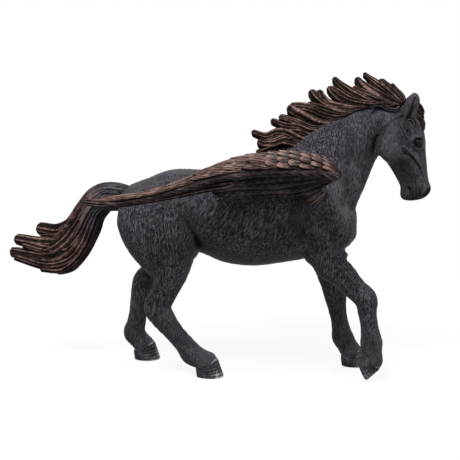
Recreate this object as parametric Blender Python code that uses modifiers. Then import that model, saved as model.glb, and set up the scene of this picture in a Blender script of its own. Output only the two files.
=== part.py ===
"""Winged horse figurine: one solid moulding of a trotting horse with swept-back wings.

The figure is sculpted in millimetres and written in metres. +X is forward, +Y is the horse's left and
+Z is up. The hooves stand on Z = 0 and the origin is below the middle of the figure.
"""

import math

import bmesh
import bpy
from mathutils import Matrix, Vector

# Mesh fineness
FLESH_VOXEL = 0.8
MUSCLE_BLEND_PASSES = 8
FLESH_TRIANGLES = 9000
FIGURE_TRIANGLES = 11400
RING_SIDES = 18
SMALLEST_EDGE = 0.02
MENDING_ROUNDS = 6

# Trunk
HIP_X = -26.0
TRUNK_HALF_WIDTH = 17.0
HIP_HALF_SPREAD = 9.6
SHOULDER_X = 47.0
SHOULDER_DROP = 8.5
SHOULDER_HALF_SPREAD = 8.6
STANCE_HIND = 12.2
STANCE_FORE = 10.8

# Hind leg bones
THIGH = 19.0
GASKIN = 25.0
HIND_CANNON = 22.8
HIND_PASTERN = 6.8

# Foreleg bones
HUMERUS = 15.0
FOREARM = 22.3
FORE_CANNON = 17.2
FORE_PASTERN = 7.6

# Hooves
HOOF_HEIGHT = 5.6
CORONET_RISE = 1.9
CORONET_HALF_LENGTH = 4.6
CORONET_HALF_WIDTH = 4.4
SOLE_HALF_LENGTH = 5.6
SOLE_HALF_WIDTH = 5.2
TOE_LEAN = 1.5

# Pose of each leg from its first bone down, in degrees from straight down, positive forward
HIND_NEAR_POSE = (24.0, -24.0, 38.3, 60.0)
HIND_FAR_POSE = (24.4, -49.7, -13.2, 33.7)
FORE_NEAR_POSE = (-36.2, 51.0, 9.5, 0.5)
FORE_FAR_POSE = (-54.6, 22.2, 11.6, 27.0)
FORE_NEAR_HOOF_FLEX = 66.0

# View that hair, ears and long feathers are drawn in: pixels from its top left corner, seen from the near side
VIEW_PIXEL = 0.41
VIEW_SIDE = 460
VIEW_AZIMUTH = 6.0
VIEW_ELEVATION = 8.5
VIEW_DISTANCE = 450.0
VIEW_HEIGHT = 58.25

# Neck and head
POLL_X = 69.0
POLL_RISE = 40.2
HEAD_LENGTH = 36.3
HEAD_SLOPE = 12.0
EAR_SPREAD = 3.8

# Wings
WING_HALF_SPAN = 44.9
WING_THICKNESS = 2.4
WING_BEAD = 1.1
FEATHER_RELIEF = 1.1
FEATHER_ROOT = 0.9
WING_FAR_ROLL = 9.0
WING_FAR_DROP = 3.5
WING_HINGE_SPREAD = 12.0
WING_HINGE_RISE = 7.3

# Hair
LOCK_HALF_WIDTH = 2.1
MANE_SPREAD = 4.2
MANE_BASE = 2.8

# Paint
COAT_COLOUR = (0.036, 0.034, 0.040, 1.0)
COAT_ROUGHNESS = 0.55

MILLIMETRE = 0.001

HIND_BONES = (THIGH, GASKIN, HIND_CANNON, HIND_PASTERN)
FORE_BONES = (HUMERUS, FOREARM, FORE_CANNON, FORE_PASTERN)


def drop(bones, pose):
    """How far a leg reaches down."""
    return sum(length * math.cos(math.radians(angle)) for length, angle in zip(bones, pose))


HIP_Z = HOOF_HEIGHT + drop(HIND_BONES, HIND_NEAR_POSE)
NEAR = -1
FAR = 1


def view_axes():
    """Right, up and backward directions of the view."""
    a, e = math.radians(VIEW_AZIMUTH), math.radians(VIEW_ELEVATION)
    back = Vector((math.sin(a) * math.cos(e), -math.cos(a) * math.cos(e), math.sin(e)))
    right = Vector((math.cos(a), math.sin(a), 0.0))
    return right, back.cross(right), back


def seen(px, py, y):
    """Point at width y that the view shows at a pixel."""
    right, up, back = view_axes()
    target = Vector((0, 0, VIEW_HEIGHT))
    eye = target + back * VIEW_DISTANCE
    spot = target + right * ((px - VIEW_SIDE / 2) * VIEW_PIXEL) + up * ((VIEW_SIDE / 2 - py) * VIEW_PIXEL)
    ray = spot - eye
    return eye + ray * ((y - eye.y) / ray.y)


def clear_scene():
    for item in list(bpy.data.objects):
        bpy.data.objects.remove(item)


# Drawing


def through(rows, per_gap):
    """Smooth rows of numbers that pass through every given row (Catmull-Rom)."""
    out = []
    last = len(rows) - 1
    for i in range(last):
        before, start, end, after = rows[max(i - 1, 0)], rows[i], rows[i + 1], rows[min(i + 2, last)]
        for k in range(per_gap):
            t = k / per_gap
            out.append([
                0.5 * (2 * b + (c - a) * t + (2 * a - 5 * b + 4 * c - d) * t * t + (3 * b - a - 3 * c + d) * t ** 3)
                for a, b, c, d in zip(before, start, end, after)
            ])
    out.append(list(rows[last]))
    return out


def rounded(angle, power):
    """Unit superellipse point: power 2 is an ellipse, more is squarer."""
    c, s = math.cos(angle), math.sin(angle)
    return math.copysign(abs(c) ** (2 / power), c), math.copysign(abs(s) ** (2 / power), s)


def skin(rings):
    """Closed mesh over a row of rings with equal point counts."""
    mesh = bmesh.new()
    loops = [[mesh.verts.new(p) for p in ring] for ring in rings]
    sides = len(rings[0])
    for a, b in zip(loops, loops[1:]):
        for i in range(sides):
            j = (i + 1) % sides
            mesh.faces.new((a[i], a[j], b[j], b[i]))
    mesh.faces.new(loops[0][::-1])
    mesh.faces.new(loops[-1])
    bmesh.ops.recalc_face_normals(mesh, faces=mesh.faces)
    data = bpy.data.meshes.new("skin")
    mesh.to_mesh(data)
    mesh.free()
    return data


def loft(stations, sides=RING_SIDES, power=2.0, per_gap=3, lateral=(0, 1, 0)):
    """Tube through stations (x, y, z, front reach, back reach, half width).

    Front is up on the trunk and forward on a leg; width runs along the lateral direction.
    """
    rows = through(stations, per_gap)
    beside = Vector(lateral)
    rings = []
    for i, row in enumerate(rows):
        here = Vector(row[:3])
        tangent = (Vector(rows[min(i + 1, len(rows) - 1)][:3]) - Vector(rows[max(i - 1, 0)][:3])).normalized()
        side = (beside - tangent * beside.dot(tangent)).normalized()
        front = tangent.cross(side)
        ring = []
        for k in range(sides):
            c, s = rounded(2 * math.pi * k / sides, power)
            reach = row[3] if c >= 0 else row[4]
            ring.append(here + front * (c * reach) + side * (s * row[5]))
        rings.append(ring)
    return skin(rings)


def slices(rows, along, y=0.0, sides=RING_SIDES, power=2.2, per_gap=3):
    """Body cut by parallel planes across x or z. Rows are (place, low, high, half width)."""
    rings = []
    for place, low, high, half in through(rows, per_gap):
        ring = []
        for k in range(sides):
            c, s = rounded(2 * math.pi * k / sides, power)
            across = (low + high) / 2 + c * (high - low) / 2
            beside = y + s * half
            ring.append(Vector((place, beside, across)) if along == "x" else Vector((across, beside, place)))
        rings.append(ring)
    return skin(rings)


def ball(centre, radii, tilt=0.0):
    """Ellipsoid, tilted about Y by degrees."""
    mesh = bmesh.new()
    bmesh.ops.create_uvsphere(mesh, u_segments=14, v_segments=9, radius=1.0)
    turn = Matrix.Rotation(math.radians(tilt), 4, "Y")
    shape = Matrix.Translation(centre) @ turn @ Matrix.Diagonal((*radii, 1))
    bmesh.ops.transform(mesh, matrix=shape, verts=mesh.verts)
    data = bpy.data.meshes.new("ball")
    mesh.to_mesh(data)
    mesh.free()
    return data


def mirrored(data, down=0.0):
    """The same shape on the other side, a little lower where asked."""
    other = data.copy()
    other.transform(Matrix.Translation((0, 0, -down)) @ Matrix.Scale(-1, 4, (0, 1, 0)))
    other.flip_normals()
    return other


# Body


def trunk():
    """Barrel from the dock to the breast. Heights are given from the hip joint."""
    z, w = HIP_Z, TRUNK_HALF_WIDTH
    rows = [
        (-45.5, z - 5, z + 6.5, 0.32 * w),
        (-42.0, z - 11, z + 9.0, 0.56 * w),
        (-34.0, z - 16, z + 12.2, 0.82 * w),
        (-24.0, z - 17, z + 15.8, 0.92 * w),
        (-12.0, z - 18.2, z + 15.9, 0.90 * w),
        (-2.0, z - 22.0, z + 15.6, 0.97 * w),
        (10.0, z - 23.2, z + 16.0, 1.0 * w),
        (22.0, z - 21.6, z + 17.0, 0.96 * w),
        (32.0, z - 19.6, z + 14.5, 0.88 * w),
        (41.0, z - 16.6, z + 10.0, 0.78 * w),
        (47.5, z - 15.2, z + 4.0, 0.62 * w),
        (51.6, z - 10.6, z - 1.0, 0.28 * w),
    ]
    return slices(rows, "x")


def withers():
    z = HIP_Z
    rows = [
        (-14.0, 0, z + 11.5, 3.0, 6.0, 6.0),
        (-4.0, 0, z + 12.5, 4.4, 8.0, 8.0),
        (6.0, 0, z + 14.0, 6.0, 10.0, 9.0),
        (15.0, 0, z + 15.6, 6.6, 10.0, 9.5),
        (26.0, 0, z + 16.5, 8.0, 10.0, 9.5),
        (36.0, 0, z + 14.0, 6.0, 8.0, 7.0),
    ]
    return loft(rows)


def shoulder(side):
    """Shoulder blade and upper arm muscle on the flank."""
    z = HIP_Z
    return [
        ball((34.0, side * 9.5, z - 2.0), (9.5, 6.2, 19.0), -24.0),
        ball((38.0, side * 8.8, z - 14.5), (8.8, 6.0, 8.2), 24.0),
        ball((46.0, side * 6.5, z - 6.5), (5.0, 5.0, 8.0), 12.0),
    ]


def thigh(side):
    z = HIP_Z
    rows = [
        (z + 10.0, -33.0, -22.0, 3.0),
        (z + 4.0, -42.5, -15.5, 6.4),
        (z - 4.0, -45.0, -12.2, 8.2),
        (z - 11.0, -43.4, -12.2, 8.4),
        (z - 17.5, -39.8, -13.8, 7.8),
        (z - 22.5, -35.6, -16.2, 6.8),
        (z - 26.0, -32.2, -17.8, 5.2),
    ]
    return slices(rows, "z", y=side * HIP_HALF_SPREAD)


def chain(start, bones, pose, y_end):
    """Joints of a leg, from its first joint down."""
    joints = [Vector(start)]
    for length, angle in zip(bones, pose):
        a = math.radians(angle)
        joints.append(joints[-1] + Vector((math.sin(a), 0, -math.cos(a))) * length)
    for i, joint in enumerate(joints):
        joint.y = start[1] + (y_end - start[1]) * i / (len(joints) - 1)
    return joints


def limb(joints, girths):
    """Leg along its joints. Girths are (bone, share along it, front, back, half width)."""
    stations = []
    for bone, share, front, back, half in girths:
        stations.append((*joints[bone].lerp(joints[bone + 1], share), front, back, half))
    return loft(stations)


def hind_leg(side, pose):
    start = (HIP_X, side * HIP_HALF_SPREAD, HIP_Z)
    joints = chain(start, HIND_BONES, pose, side * STANCE_HIND)
    girths = [
        (0, 0.6, 8.0, 9.0, 6.5),
        (1, 0.0, 5.8, 10.0, 6.6),
        (1, 0.35, 5.8, 8.2, 5.8),
        (1, 0.70, 5.0, 5.8, 4.3),
        (1, 0.95, 5.0, 6.3, 4.2),
        (2, 0.15, 4.6, 5.7, 4.0),
        (2, 0.50, 3.5, 4.7, 3.4),
        (2, 0.80, 3.9, 4.3, 3.6),
        (3, 0.00, 4.4, 5.0, 4.3),
        (3, 0.55, 4.1, 4.4, 4.0),
        (3, 0.95, 4.4, 4.4, 4.2),
    ]
    return limb(joints, girths), joints[-1]


def fore_leg(side, pose):
    start = (SHOULDER_X, side * SHOULDER_HALF_SPREAD, HIP_Z - SHOULDER_DROP)
    joints = chain(start, FORE_BONES, pose, side * STANCE_FORE)
    girths = [
        (0, 0.35, 6.2, 5.4, 5.5),
        (1, 0.00, 6.5, 4.2, 5.6),
        (1, 0.35, 7.5, 3.8, 5.0),
        (1, 0.75, 5.4, 4.0, 4.1),
        (1, 1.00, 4.9, 4.5, 4.3),
        (2, 0.30, 3.8, 4.0, 3.5),
        (2, 0.60, 3.5, 3.7, 3.3),
        (2, 0.85, 3.9, 4.3, 3.7),
        (3, 0.05, 4.4, 4.9, 4.2),
        (3, 0.55, 4.1, 4.4, 4.0),
        (3, 0.95, 4.4, 4.3, 4.2),
    ]
    return limb(joints, girths), joints[-1]


def hoof(coronet, flex):
    """Hoof wall from the sloped coronet to a flat sole, tipped on its toe by flex degrees."""
    height = coronet.z if flex == 0 else HOOF_HEIGHT
    rings = []
    for share in (-0.12, 0.0, 0.4, 1.0):
        grow = max(share, 0.0)
        length = CORONET_HALF_LENGTH + (SOLE_HALF_LENGTH - CORONET_HALF_LENGTH) * grow
        width = CORONET_HALF_WIDTH + (SOLE_HALF_WIDTH - CORONET_HALF_WIDTH) * grow
        ring = []
        for k in range(RING_SIDES):
            c, s = rounded(2 * math.pi * k / RING_SIDES, 2.2)
            top = CORONET_RISE * c * (1 - share)
            ring.append(Vector((TOE_LEAN * share + c * length, s * width, top - height * share)))
        rings.append(ring)
    data = skin(rings)
    data.transform(Matrix.Translation(coronet) @ Matrix.Rotation(math.radians(flex), 4, "Y"))
    lowest = min(v.co.z for v in data.vertices)
    data.transform(Matrix.Translation((0, 0, -lowest)))
    return data


def neck():
    z = HIP_Z
    rows = [
        (27.0, 0, z + 2.0, 18.0, 20.4, 13.5),
        (33.0, 0, z + 7.8, 19.8, 19.8, 13.0),
        (38.5, 0, z + 15.0, 18.2, 17.4, 11.2),
        (43.5, 0, z + 21.6, 16.4, 15.4, 9.4),
        (49.0, 0, z + 27.6, 14.2, 12.8, 8.0),
        (55.0, 0, z + 32.4, 10.8, 10.4, 7.0),
        (61.0, 0, z + 35.6, 7.4, 9.6, 6.5),
        (67.0, 0, z + 36.6, 4.2, 8.0, 5.7),
    ]
    return loft(rows, power=2.1)


def head_frame():
    """Poll point and the directions down the face and out of the forehead."""
    a = math.radians(HEAD_SLOPE)
    poll = Vector((POLL_X, 0, HIP_Z + POLL_RISE))
    return poll, Vector((math.sin(a), 0, -math.cos(a))), Vector((math.cos(a), 0, math.sin(a)))


def on_head(down, out, y=0.0):
    """Point on the head, down the face as a share of its length."""
    poll, along, forward = head_frame()
    return poll + along * (down * HEAD_LENGTH) + forward * out + Vector((0, y, 0))


def head():
    rows = []
    for share, front, back, half in (
        (-0.04, 3.5, 4.5, 4.2),
        (0.05, 5.8, 7.0, 5.4),
        (0.16, 6.9, 8.5, 6.1),
        (0.28, 6.7, 10.6, 6.5),
        (0.38, 6.5, 12.2, 6.1),
        (0.48, 5.9, 11.0, 5.3),
        (0.59, 5.5, 9.2, 4.5),
        (0.72, 5.0, 7.6, 3.9),
        (0.82, 4.9, 6.7, 3.8),
        (0.91, 5.2, 7.5, 4.1),
        (0.97, 3.2, 6.4, 3.5),
        (0.995, 0.9, 3.2, 2.2),
    ):
        rows.append((*on_head(share, 0), front, back, half))
    return loft(rows, power=2.3)


def cheeks():
    return [ball(on_head(0.36, -6.2, side * 3.3), (6.6, 3.6, 6.9), 10.0) for side in (NEAR, FAR)]


def face_details():
    """Brow, eyeball and nostril rim on both sides of the face."""
    parts = []
    for side in (NEAR, FAR):
        parts.append(ball(on_head(0.27, 3.2, side * 4.7), (2.6, 1.6, 1.6), 30.0))
        parts.append(ball(on_head(0.91, 2.0, side * 2.9), (1.9, 1.4, 2.4), 20.0))
    near_eye = ball(seen(418.6, 142.3, -5.35), (1.75, 1.25, 1.45), 25.0)
    parts += [near_eye, mirrored(near_eye)]
    return parts


def ears():
    """Leaf-shaped ears that lean forward from a broad base."""
    rows = []
    outline = (
        (404.0, 120.0, 3.0, 2.0), (409.0, 112.0, 3.7, 2.6), (412.2, 104.0, 3.0, 2.2),
        (415.4, 97.5, 2.1, 1.5), (416.2, 92.4, 0.8, 0.6),
    )
    for px, py, depth, half in outline:
        rows.append((*seen(px, py, -EAR_SPREAD), depth, depth, half))
    near = loft(rows, sides=8, per_gap=2)
    return [near, mirrored(near)]


# Hair


def strand(path, ys, half_depth, half_width, tip=0.6):
    """Lock of hair along pixels of the view, from a thin root to a domed tip.

    Its width runs from ys[0] to ys[1] and its tip is a share of its half depth.
    """
    last = len(path) - 1
    spots = [seen(px, py, ys[0] + (ys[1] - ys[0]) * (i / last) ** 0.8) for i, (px, py) in enumerate(path)]
    ahead = (spots[-1] - spots[-2]).normalized()
    end = tip * half_depth
    spots[-1] = spots[-1] - ahead * end
    rows = []
    for i, spot in enumerate(spots):
        t = i / last
        body = (0.3 + 0.7 * min(1.0, t / 0.35) ** 0.7) * (1 - (1 - tip) * t ** 2)
        rows.append((*spot, half_depth * body, half_depth * body, half_width * (0.4 + 0.6 * body)))
    for degrees in (45, 80):
        wide = math.cos(math.radians(degrees))
        spot = spots[-1] + ahead * (end * math.sin(math.radians(degrees)))
        rows.append((*spot, end * wide, end * wide, half_width * (0.4 + 0.6 * tip) * wide))
    return loft(rows, sides=8, per_gap=1)


# Crest of the neck from the poll to the withers: x and rise above the hip
CREST = (
    (70.5, 39.5), (66.0, 41.0), (60.0, 42.3), (53.0, 42.6), (46.0, 41.2),
    (39.0, 38.8), (32.5, 35.6), (26.5, 31.5), (20.5, 26.0), (14.0, 20.5),
)

# Locks of the mane from the withers to the poll: pixels from root to tip, half depth, tip share
MANE_LOCKS = (
    (((318, 148), (304, 146.5), (292, 143.5), (281, 142.5), (270, 147), (256, 153)), 2.2, 0.5),
    (((326, 139), (312, 142), (299, 139.5), (288, 134), (278, 132.5), (266, 136.5), (251.3, 131.8)), 2.8, 0.5),
    (((322, 143), (308, 144), (296, 141.5), (285, 139), (274, 143), (264, 143.5), (257, 142)), 2.7, 0.85),
    (((330, 134), (315, 136), (303, 132), (293, 130.5), (282, 132)), 2.2, 0.6),
    (((336, 127), (322, 131.5), (308, 130.5), (298, 126.5), (286, 125.5), (270.6, 120.3)), 2.4, 0.55),
    (((340, 122), (326, 127), (312, 127.5), (300, 122.5), (290, 119.3), (278.6, 116.8)), 2.1, 0.7),
    (((348, 116), (334, 121), (320, 121), (307, 116), (297, 111.5), (287, 107.5)), 3.2, 0.85),
    (((354, 111), (340, 116), (326, 114.5), (313, 109.5), (302, 107), (289.5, 106.5)), 2.7, 0.7),
    (((352, 113), (338, 112), (325, 108.5), (315, 106), (306, 106)), 2.3, 0.9),
    (((364, 107), (349, 109.5), (336, 107.5), (325, 104), (316, 97.5), (309.6, 90.2)), 2.5, 0.75),
    (((366, 107), (351, 107.5), (338, 106), (328, 103.5), (321.5, 97), (317.8, 90)), 2.1, 0.85),
    (((382, 104), (366, 104), (351, 102), (340, 97.5), (333, 92), (327.7, 86.8)), 2.6, 0.7),
    (((376, 102), (361, 100.5), (348, 97), (341, 92.5), (331, 87)), 2.0, 0.7),
    (((372, 101), (358, 95.5), (347, 90), (339.5, 84.5), (333, 77.5)), 2.4, 0.55),
    (((384, 100), (372, 96), (361, 91.5), (351.5, 88.5)), 2.4, 0.9),
    (((400, 104), (387, 100), (374, 93), (363, 86), (355.4, 77.8)), 2.8, 0.55),
    (((396, 105), (383, 102.5), (370, 97.5), (359, 94)), 2.3, 0.8),
    (((402, 103), (393, 95.5), (382.5, 87.5), (372.5, 80.5), (363.4, 73)), 2.3, 0.42),
    (((404, 103), (396, 95), (387, 87.3), (378.5, 80)), 2.1, 0.9),
    (((406, 103), (402, 97), (396.5, 90.5), (391, 83.7)), 1.5, 0.7),
)


def mane():
    core = []
    for (x, rise), tall in zip(CREST, (1.4, 2.6, 3.2, 3.4, 3.4, 3.4, 3.2, 3.0, 2.4, 1.0)):
        core.append((x, 0, rise + HIP_Z - 1.5, tall, MANE_BASE, MANE_BASE))
    parts = [loft(core, sides=8, per_gap=1, lateral=(0, -1, 0))]
    for path, depth, tip in MANE_LOCKS:
        near = strand(path, (-MANE_SPREAD, -1.2), depth, LOCK_HALF_WIDTH, tip)
        parts += [near, mirrored(near, 1.0)]
        parts.append(strand(path, (0.0, 0.2), 0.92 * depth, 0.9 * LOCK_HALF_WIDTH, tip))
    return parts


def forelock():
    curls = (
        (((407, 113), (412.5, 108.5), (418, 109), (421.6, 113.5), (420.8, 119.5)), (-2.6, -1.2), 1.2),
        (((408, 116), (413, 112), (417.5, 114), (421.8, 121), (422, 130)), (-1.8, -1.6), 1.2),
    )
    parts = []
    for path, ys, depth in curls:
        near = strand(path, ys, depth, 1.2, 0.5)
        parts += [near, mirrored(near, 0.5)]
    middle = ((407, 110), (413, 107), (417.5, 109.5), (420.3, 114), (422.2, 121))
    parts.append(strand(middle, (0.2, 0.6), 1.3, 1.2, 0.5))
    return parts


# Locks of the tail from the dock to the tips: pixels, widths, half depth, tip share
TAIL_LOCKS = (
    (((132, 187.5), (115, 188), (102, 191), (91, 199), (79.5, 213), (69, 223.5), (59, 229.5)), (-3.0, -2.0), 2.3, 0.6),
    (((124, 191), (108, 191), (97, 198), (85, 211.5), (73, 223.5), (58, 230.5), (36, 228.5)), (-3.8, -1.4), 3.2, 0.95),
    (((120, 194), (105, 194), (94, 204), (83, 217), (71, 229), (57, 236.5), (40, 237)), (-4.6, -1.8), 2.6, 0.7),
    (((116, 196), (102, 198), (91, 210), (81, 226.5), (66, 240.5), (44, 243), (14, 238.8)), (-5.4, -1.6), 3.1, 0.85),
    (((114, 198), (99, 203), (89, 216), (81, 233), (67, 248), (48, 250), (22, 243.5)), (-6.0, -2.8), 2.7, 0.7),
    (((112, 200), (98, 207), (89.5, 220), (82.5, 238), (69, 254), (46, 256.5), (9.8, 251.5)), (-6.0, -1.8), 2.9, 0.85),
    (((110, 202), (97, 211), (90.5, 225), (84, 242), (70.5, 259), (47, 265.3), (14, 256)), (-5.8, -2.2), 3.0, 0.65),
    (((108, 204), (96.5, 214), (91.5, 227), (85.5, 243), (75.5, 258), (61, 269), (40, 268.6)), (-5.0, -2.4), 2.6, 0.7),
    (((110, 204.5), (98, 216), (92.5, 229), (87, 243), (79.5, 256), (69.5, 267.3), (56, 272)), (-3.8, -2.0), 2.4, 0.7),
    (((111, 206), (100, 216), (95, 228), (90, 239), (83.5, 250), (76.5, 260.5), (70.5, 267.5)), (-2.4, -1.0), 2.2, 0.8),
)


def tail():
    z = HIP_Z
    core = [
        (-41.0, 0, z + 3.0, 5.4, 5.4, 4.4),
        (-47.5, 0, z + 4.0, 5.4, 6.2, 4.4),
        (-53.5, 0, z + 2.8, 5.4, 6.6, 4.6),
        (-58.0, 0, z - 2.0, 5.6, 6.6, 5.0),
        (-61.8, 0, z - 8.7, 6.6, 7.4, 5.6),
        (-67.0, 0, z - 15.8, 7.6, 8.8, 5.8),
        (-73.5, 0, z - 19.8, 7.2, 8.0, 5.2),
        (-80.5, 0, z - 20.2, 5.0, 4.8, 3.4),
        (-84.0, 0, z - 19.6, 2.8, 2.8, 2.0),
    ]
    parts = [loft(core, sides=12, per_gap=2)]
    for k, (path, ys, depth, tip) in enumerate(TAIL_LOCKS):
        near = strand(path, ys, depth, LOCK_HALF_WIDTH, tip)
        parts += [near, mirrored(near, 0.8)]
        if k in (1, 3, 4, 5, 6, 7):
            parts.append(strand(path, (0.3, 0.0), 0.9 * depth, 1.2 * LOCK_HALF_WIDTH, tip))
    return parts


# Wings

# Sections from the wrist to the tip: x, then the outer edge, the crest and the root, each as a share of the
# half span and a rise above the hip, then fullness
WING_SECTIONS = (
    (45.2, 0.768, 16.8, 0.679, 17.8, 0.601, 17.2, 0.35),
    (43.0, 0.846, 17.8, 0.657, 19.2, 0.535, 15.2, 0.8),
    (38.5, 0.913, 18.7, 0.624, 21.8, 0.396, 11.9, 1.0),
    (31.0, 0.962, 19.3, 0.601, 23.6, 0.285, 7.6, 1.0),
    (22.0, 0.993, 19.4, 0.590, 23.7, 0.267, 6.0, 1.0),
    (12.0, 1.000, 18.8, 0.590, 22.6, 0.267, 5.8, 1.0),
    (4.0, 1.000, 17.6, 0.601, 20.9, 0.278, 6.0, 1.0),
    (-1.0, 0.996, 16.5, 0.612, 19.2, 0.323, 6.3, 1.0),
    (-4.0, 0.991, 15.6, 0.619, 17.8, 0.379, 7.4, 0.95),
    (-6.0, 0.989, 15.1, 0.626, 17.1, 0.523, 11.4, 0.95),
    (-9.0, 0.982, 14.2, 0.639, 15.8, 0.586, 12.3, 0.95),
    (-15.0, 0.969, 12.3, 0.679, 13.4, 0.646, 10.6, 0.9),
    (-23.0, 0.942, 9.7, 0.708, 10.5, 0.673, 8.4, 0.85),
    (-32.0, 0.909, 7.7, 0.735, 8.2, 0.704, 6.6, 0.8),
    (-41.0, 0.873, 6.3, 0.762, 7.2, 0.731, 5.8, 0.75),
    (-48.0, 0.846, 6.0, 0.780, 7.0, 0.757, 5.6, 0.6),
    (-53.6, 0.815, 6.8, 0.800, 7.2, 0.788, 6.7, 0.25),
)

# Long dark feathers hung below the edge: pixels of their middle, half height, width
HANGING_VANE = (
    (226, 184.5, 2.2, 41.0), (203, 188.0, 2.1, 41.0), (172, 195.2, 1.75, 40.3), (140, 201.0, 1.45, 39.6),
    (120, 203.2, 1.75, 39.0), (100, 203.6, 1.7, 38.4), (88, 202.4, 1.4, 37.8), (81, 200.8, 0.7, 37.4),
)


def wing_section(x):
    """Section of the wing at x, between the listed ones."""
    rows = WING_SECTIONS
    for a, b in zip(rows, rows[1:]):
        if b[0] <= x <= a[0]:
            t = (a[0] - x) / (a[0] - b[0])
            return [p + (q - p) * t for p, q in zip(a, b)]
    return list(rows[0] if x > rows[0][0] else rows[-1])


def wing_point(x, across, side, lift=0.0):
    """Point on the middle of the wing, across from 0 at the outer edge to 1 at the root, and lifted off it."""
    row = wing_section(x)
    edge, crest, root = (Vector((row[i] * WING_HALF_SPAN, row[i + 1])) for i in (1, 3, 5))
    arch = edge.lerp(crest, 0.5) + Vector((1.2, 1.6)) * min(1.0, (crest - edge).length / 18)
    inner = crest.lerp(root, 0.5) + Vector((0.8, 0.8)) * min(1.0, (crest - root).length / 20)
    curve = through([edge, arch, crest, inner, root], 6)
    at = max(0.0, min(0.9999, across)) * (len(curve) - 1)
    i = int(at)
    a, b = Vector(curve[i]), Vector(curve[i + 1])
    place = a.lerp(b, at - i)
    run = b - a
    normal = Vector((-run.y, run.x)).normalized() if run.length > 1e-6 else Vector((0, 1))
    if normal.y < 0 and across < 0.5:
        normal = -normal
    if across >= 0.5 and normal.x > 0:
        normal = Vector((run.y, -run.x)).normalized()
    place = place + normal * lift
    return Vector((x, side * place.x, HIP_Z + place.y))


def wing_sheet(side):
    """Arched sheet of the wing without its feathers."""
    places = (0.0, 0.12, 0.25, 0.38, 0.5, 0.62, 0.76, 0.9, 1.0)
    rings = []
    for row in WING_SECTIONS:
        half = WING_THICKNESS / 2 * row[7]
        top = [wing_point(row[0], p, side, half) for p in places]
        bottom = [wing_point(row[0], p, side, -half) for p in reversed(places)]
        rings.append(top + bottom)
    return skin(rings)


def feather(x, across, length, width, side, drift=0.0, face=1, blunt=0.6):
    """Leaf laid on the wing from x backward, on its top (face 1) or underside (face -1).

    Width is in shares across the wing; drift moves the tip across.
    """
    shape = ((0.0, 0.6), (0.35, 1.0), (0.75, 1.0), (0.95, blunt), (1.0, 0.15))
    rings = []
    for share, wide in shape:
        here = x - length * share
        middle = across + drift * share
        surface = WING_THICKNESS / 2 * wing_section(here)[7]
        top = surface - 0.3 + FEATHER_RELIEF * (0.5 + 0.7 * share)
        rim = top - 0.45 * FEATHER_RELIEF
        rings.append([
            wing_point(here, middle - width * wide / 2, side, face * rim),
            wing_point(here, middle, side, face * top),
            wing_point(here, middle + width * wide / 2, side, face * rim),
            wing_point(here, middle, side, face * (surface - FEATHER_ROOT)),
        ])
    return skin(rings)


def wing(side):
    parts = [wing_sheet(side)]
    bead = []
    for k in range(13):
        bead.append((*wing_point(43.5 - 7.5 * k, 0.0, side, -0.4), *(3 * [WING_BEAD - 0.02 * k])))
    parts.append(loft(bead, sides=8, per_gap=1))
    vane = []
    for px, py, half, y in HANGING_VANE:
        x, _, z = seen(px, py, -y)
        vane.append((x, side * y, z, half, half, 0.55 * WING_BEAD + 0.15 * half))
    parts.append(loft(vane, sides=10, per_gap=2, lateral=(0, -1, 0)))
    for row in range(5):
        x = 43.0 - 4.8 * row
        for k in range(5):
            parts.append(feather(x, 0.10 + 0.13 * k + (0.06 if row % 2 else 0.0), 6.6, 0.15, side))
    for row in range(2):
        for k in range(4):
            parts.append(feather(22.0 - 8.0 * row, 0.11 + 0.14 * k + 0.05 * row, 13.0, 0.17, side, 0.02))
    for k in range(5):
        parts.append(feather(7.0, 0.10 + 0.12 * k, 17.0 - 0.6 * k, 0.15, side, 0.03))
    for k in range(4):
        parts.append(feather(-6.0, 0.14 + 0.20 * k, 44.0 - 7.0 * k, 0.24, side, 0.02))
    for k in range(6):
        parts.append(feather(36.0, 0.42 + 0.10 * k, 38.0, 0.11, side, 0.01, -1))
    if side == FAR:
        hinge = Vector((0, WING_HINGE_SPREAD, HIP_Z + WING_HINGE_RISE))
        turn = Matrix.Rotation(math.radians(-WING_FAR_ROLL), 4, "X")
        move = Matrix.Translation(hinge - Vector((0, 0, WING_FAR_DROP))) @ turn @ Matrix.Translation(-hinge)
        for data in parts:
            data.transform(move)
    return parts


# Assembly


def flesh_parts():
    parts = [trunk(), withers(), neck(), head(), *cheeks()]
    feet = []
    legs = (
        (NEAR, HIND_NEAR_POSE, FORE_NEAR_POSE, FORE_NEAR_HOOF_FLEX),
        (FAR, HIND_FAR_POSE, FORE_FAR_POSE, 0.0),
    )
    for side, hind_pose, fore_pose, flex in legs:
        hind, hind_coronet = hind_leg(side, hind_pose)
        fore, fore_coronet = fore_leg(side, fore_pose)
        parts += [thigh(side), hind, fore, *shoulder(side)]
        feet += [(hind_coronet, 0.0), (fore_coronet, flex)]
    return parts, feet


def settle(data):
    """Metres, standing on the ground, with the origin below the middle."""
    xs = [v.co.x for v in data.vertices]
    ys = [v.co.y for v in data.vertices]
    lowest = min(v.co.z for v in data.vertices)
    middle = Vector(((min(xs) + max(xs)) / 2, (min(ys) + max(ys)) / 2, lowest))
    data.transform(Matrix.Scale(MILLIMETRE, 4) @ Matrix.Translation(-middle))


def coat_material():
    coat = bpy.data.materials.new("coat")
    coat.use_nodes = True
    shader = coat.node_tree.nodes["Principled BSDF"]
    shader.inputs["Base Color"].default_value = COAT_COLOUR
    shader.inputs["Roughness"].default_value = COAT_ROUGHNESS
    return coat


def placed(name, data, collection):
    item = bpy.data.objects.new(name, data)
    collection.objects.link(item)
    return item


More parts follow.
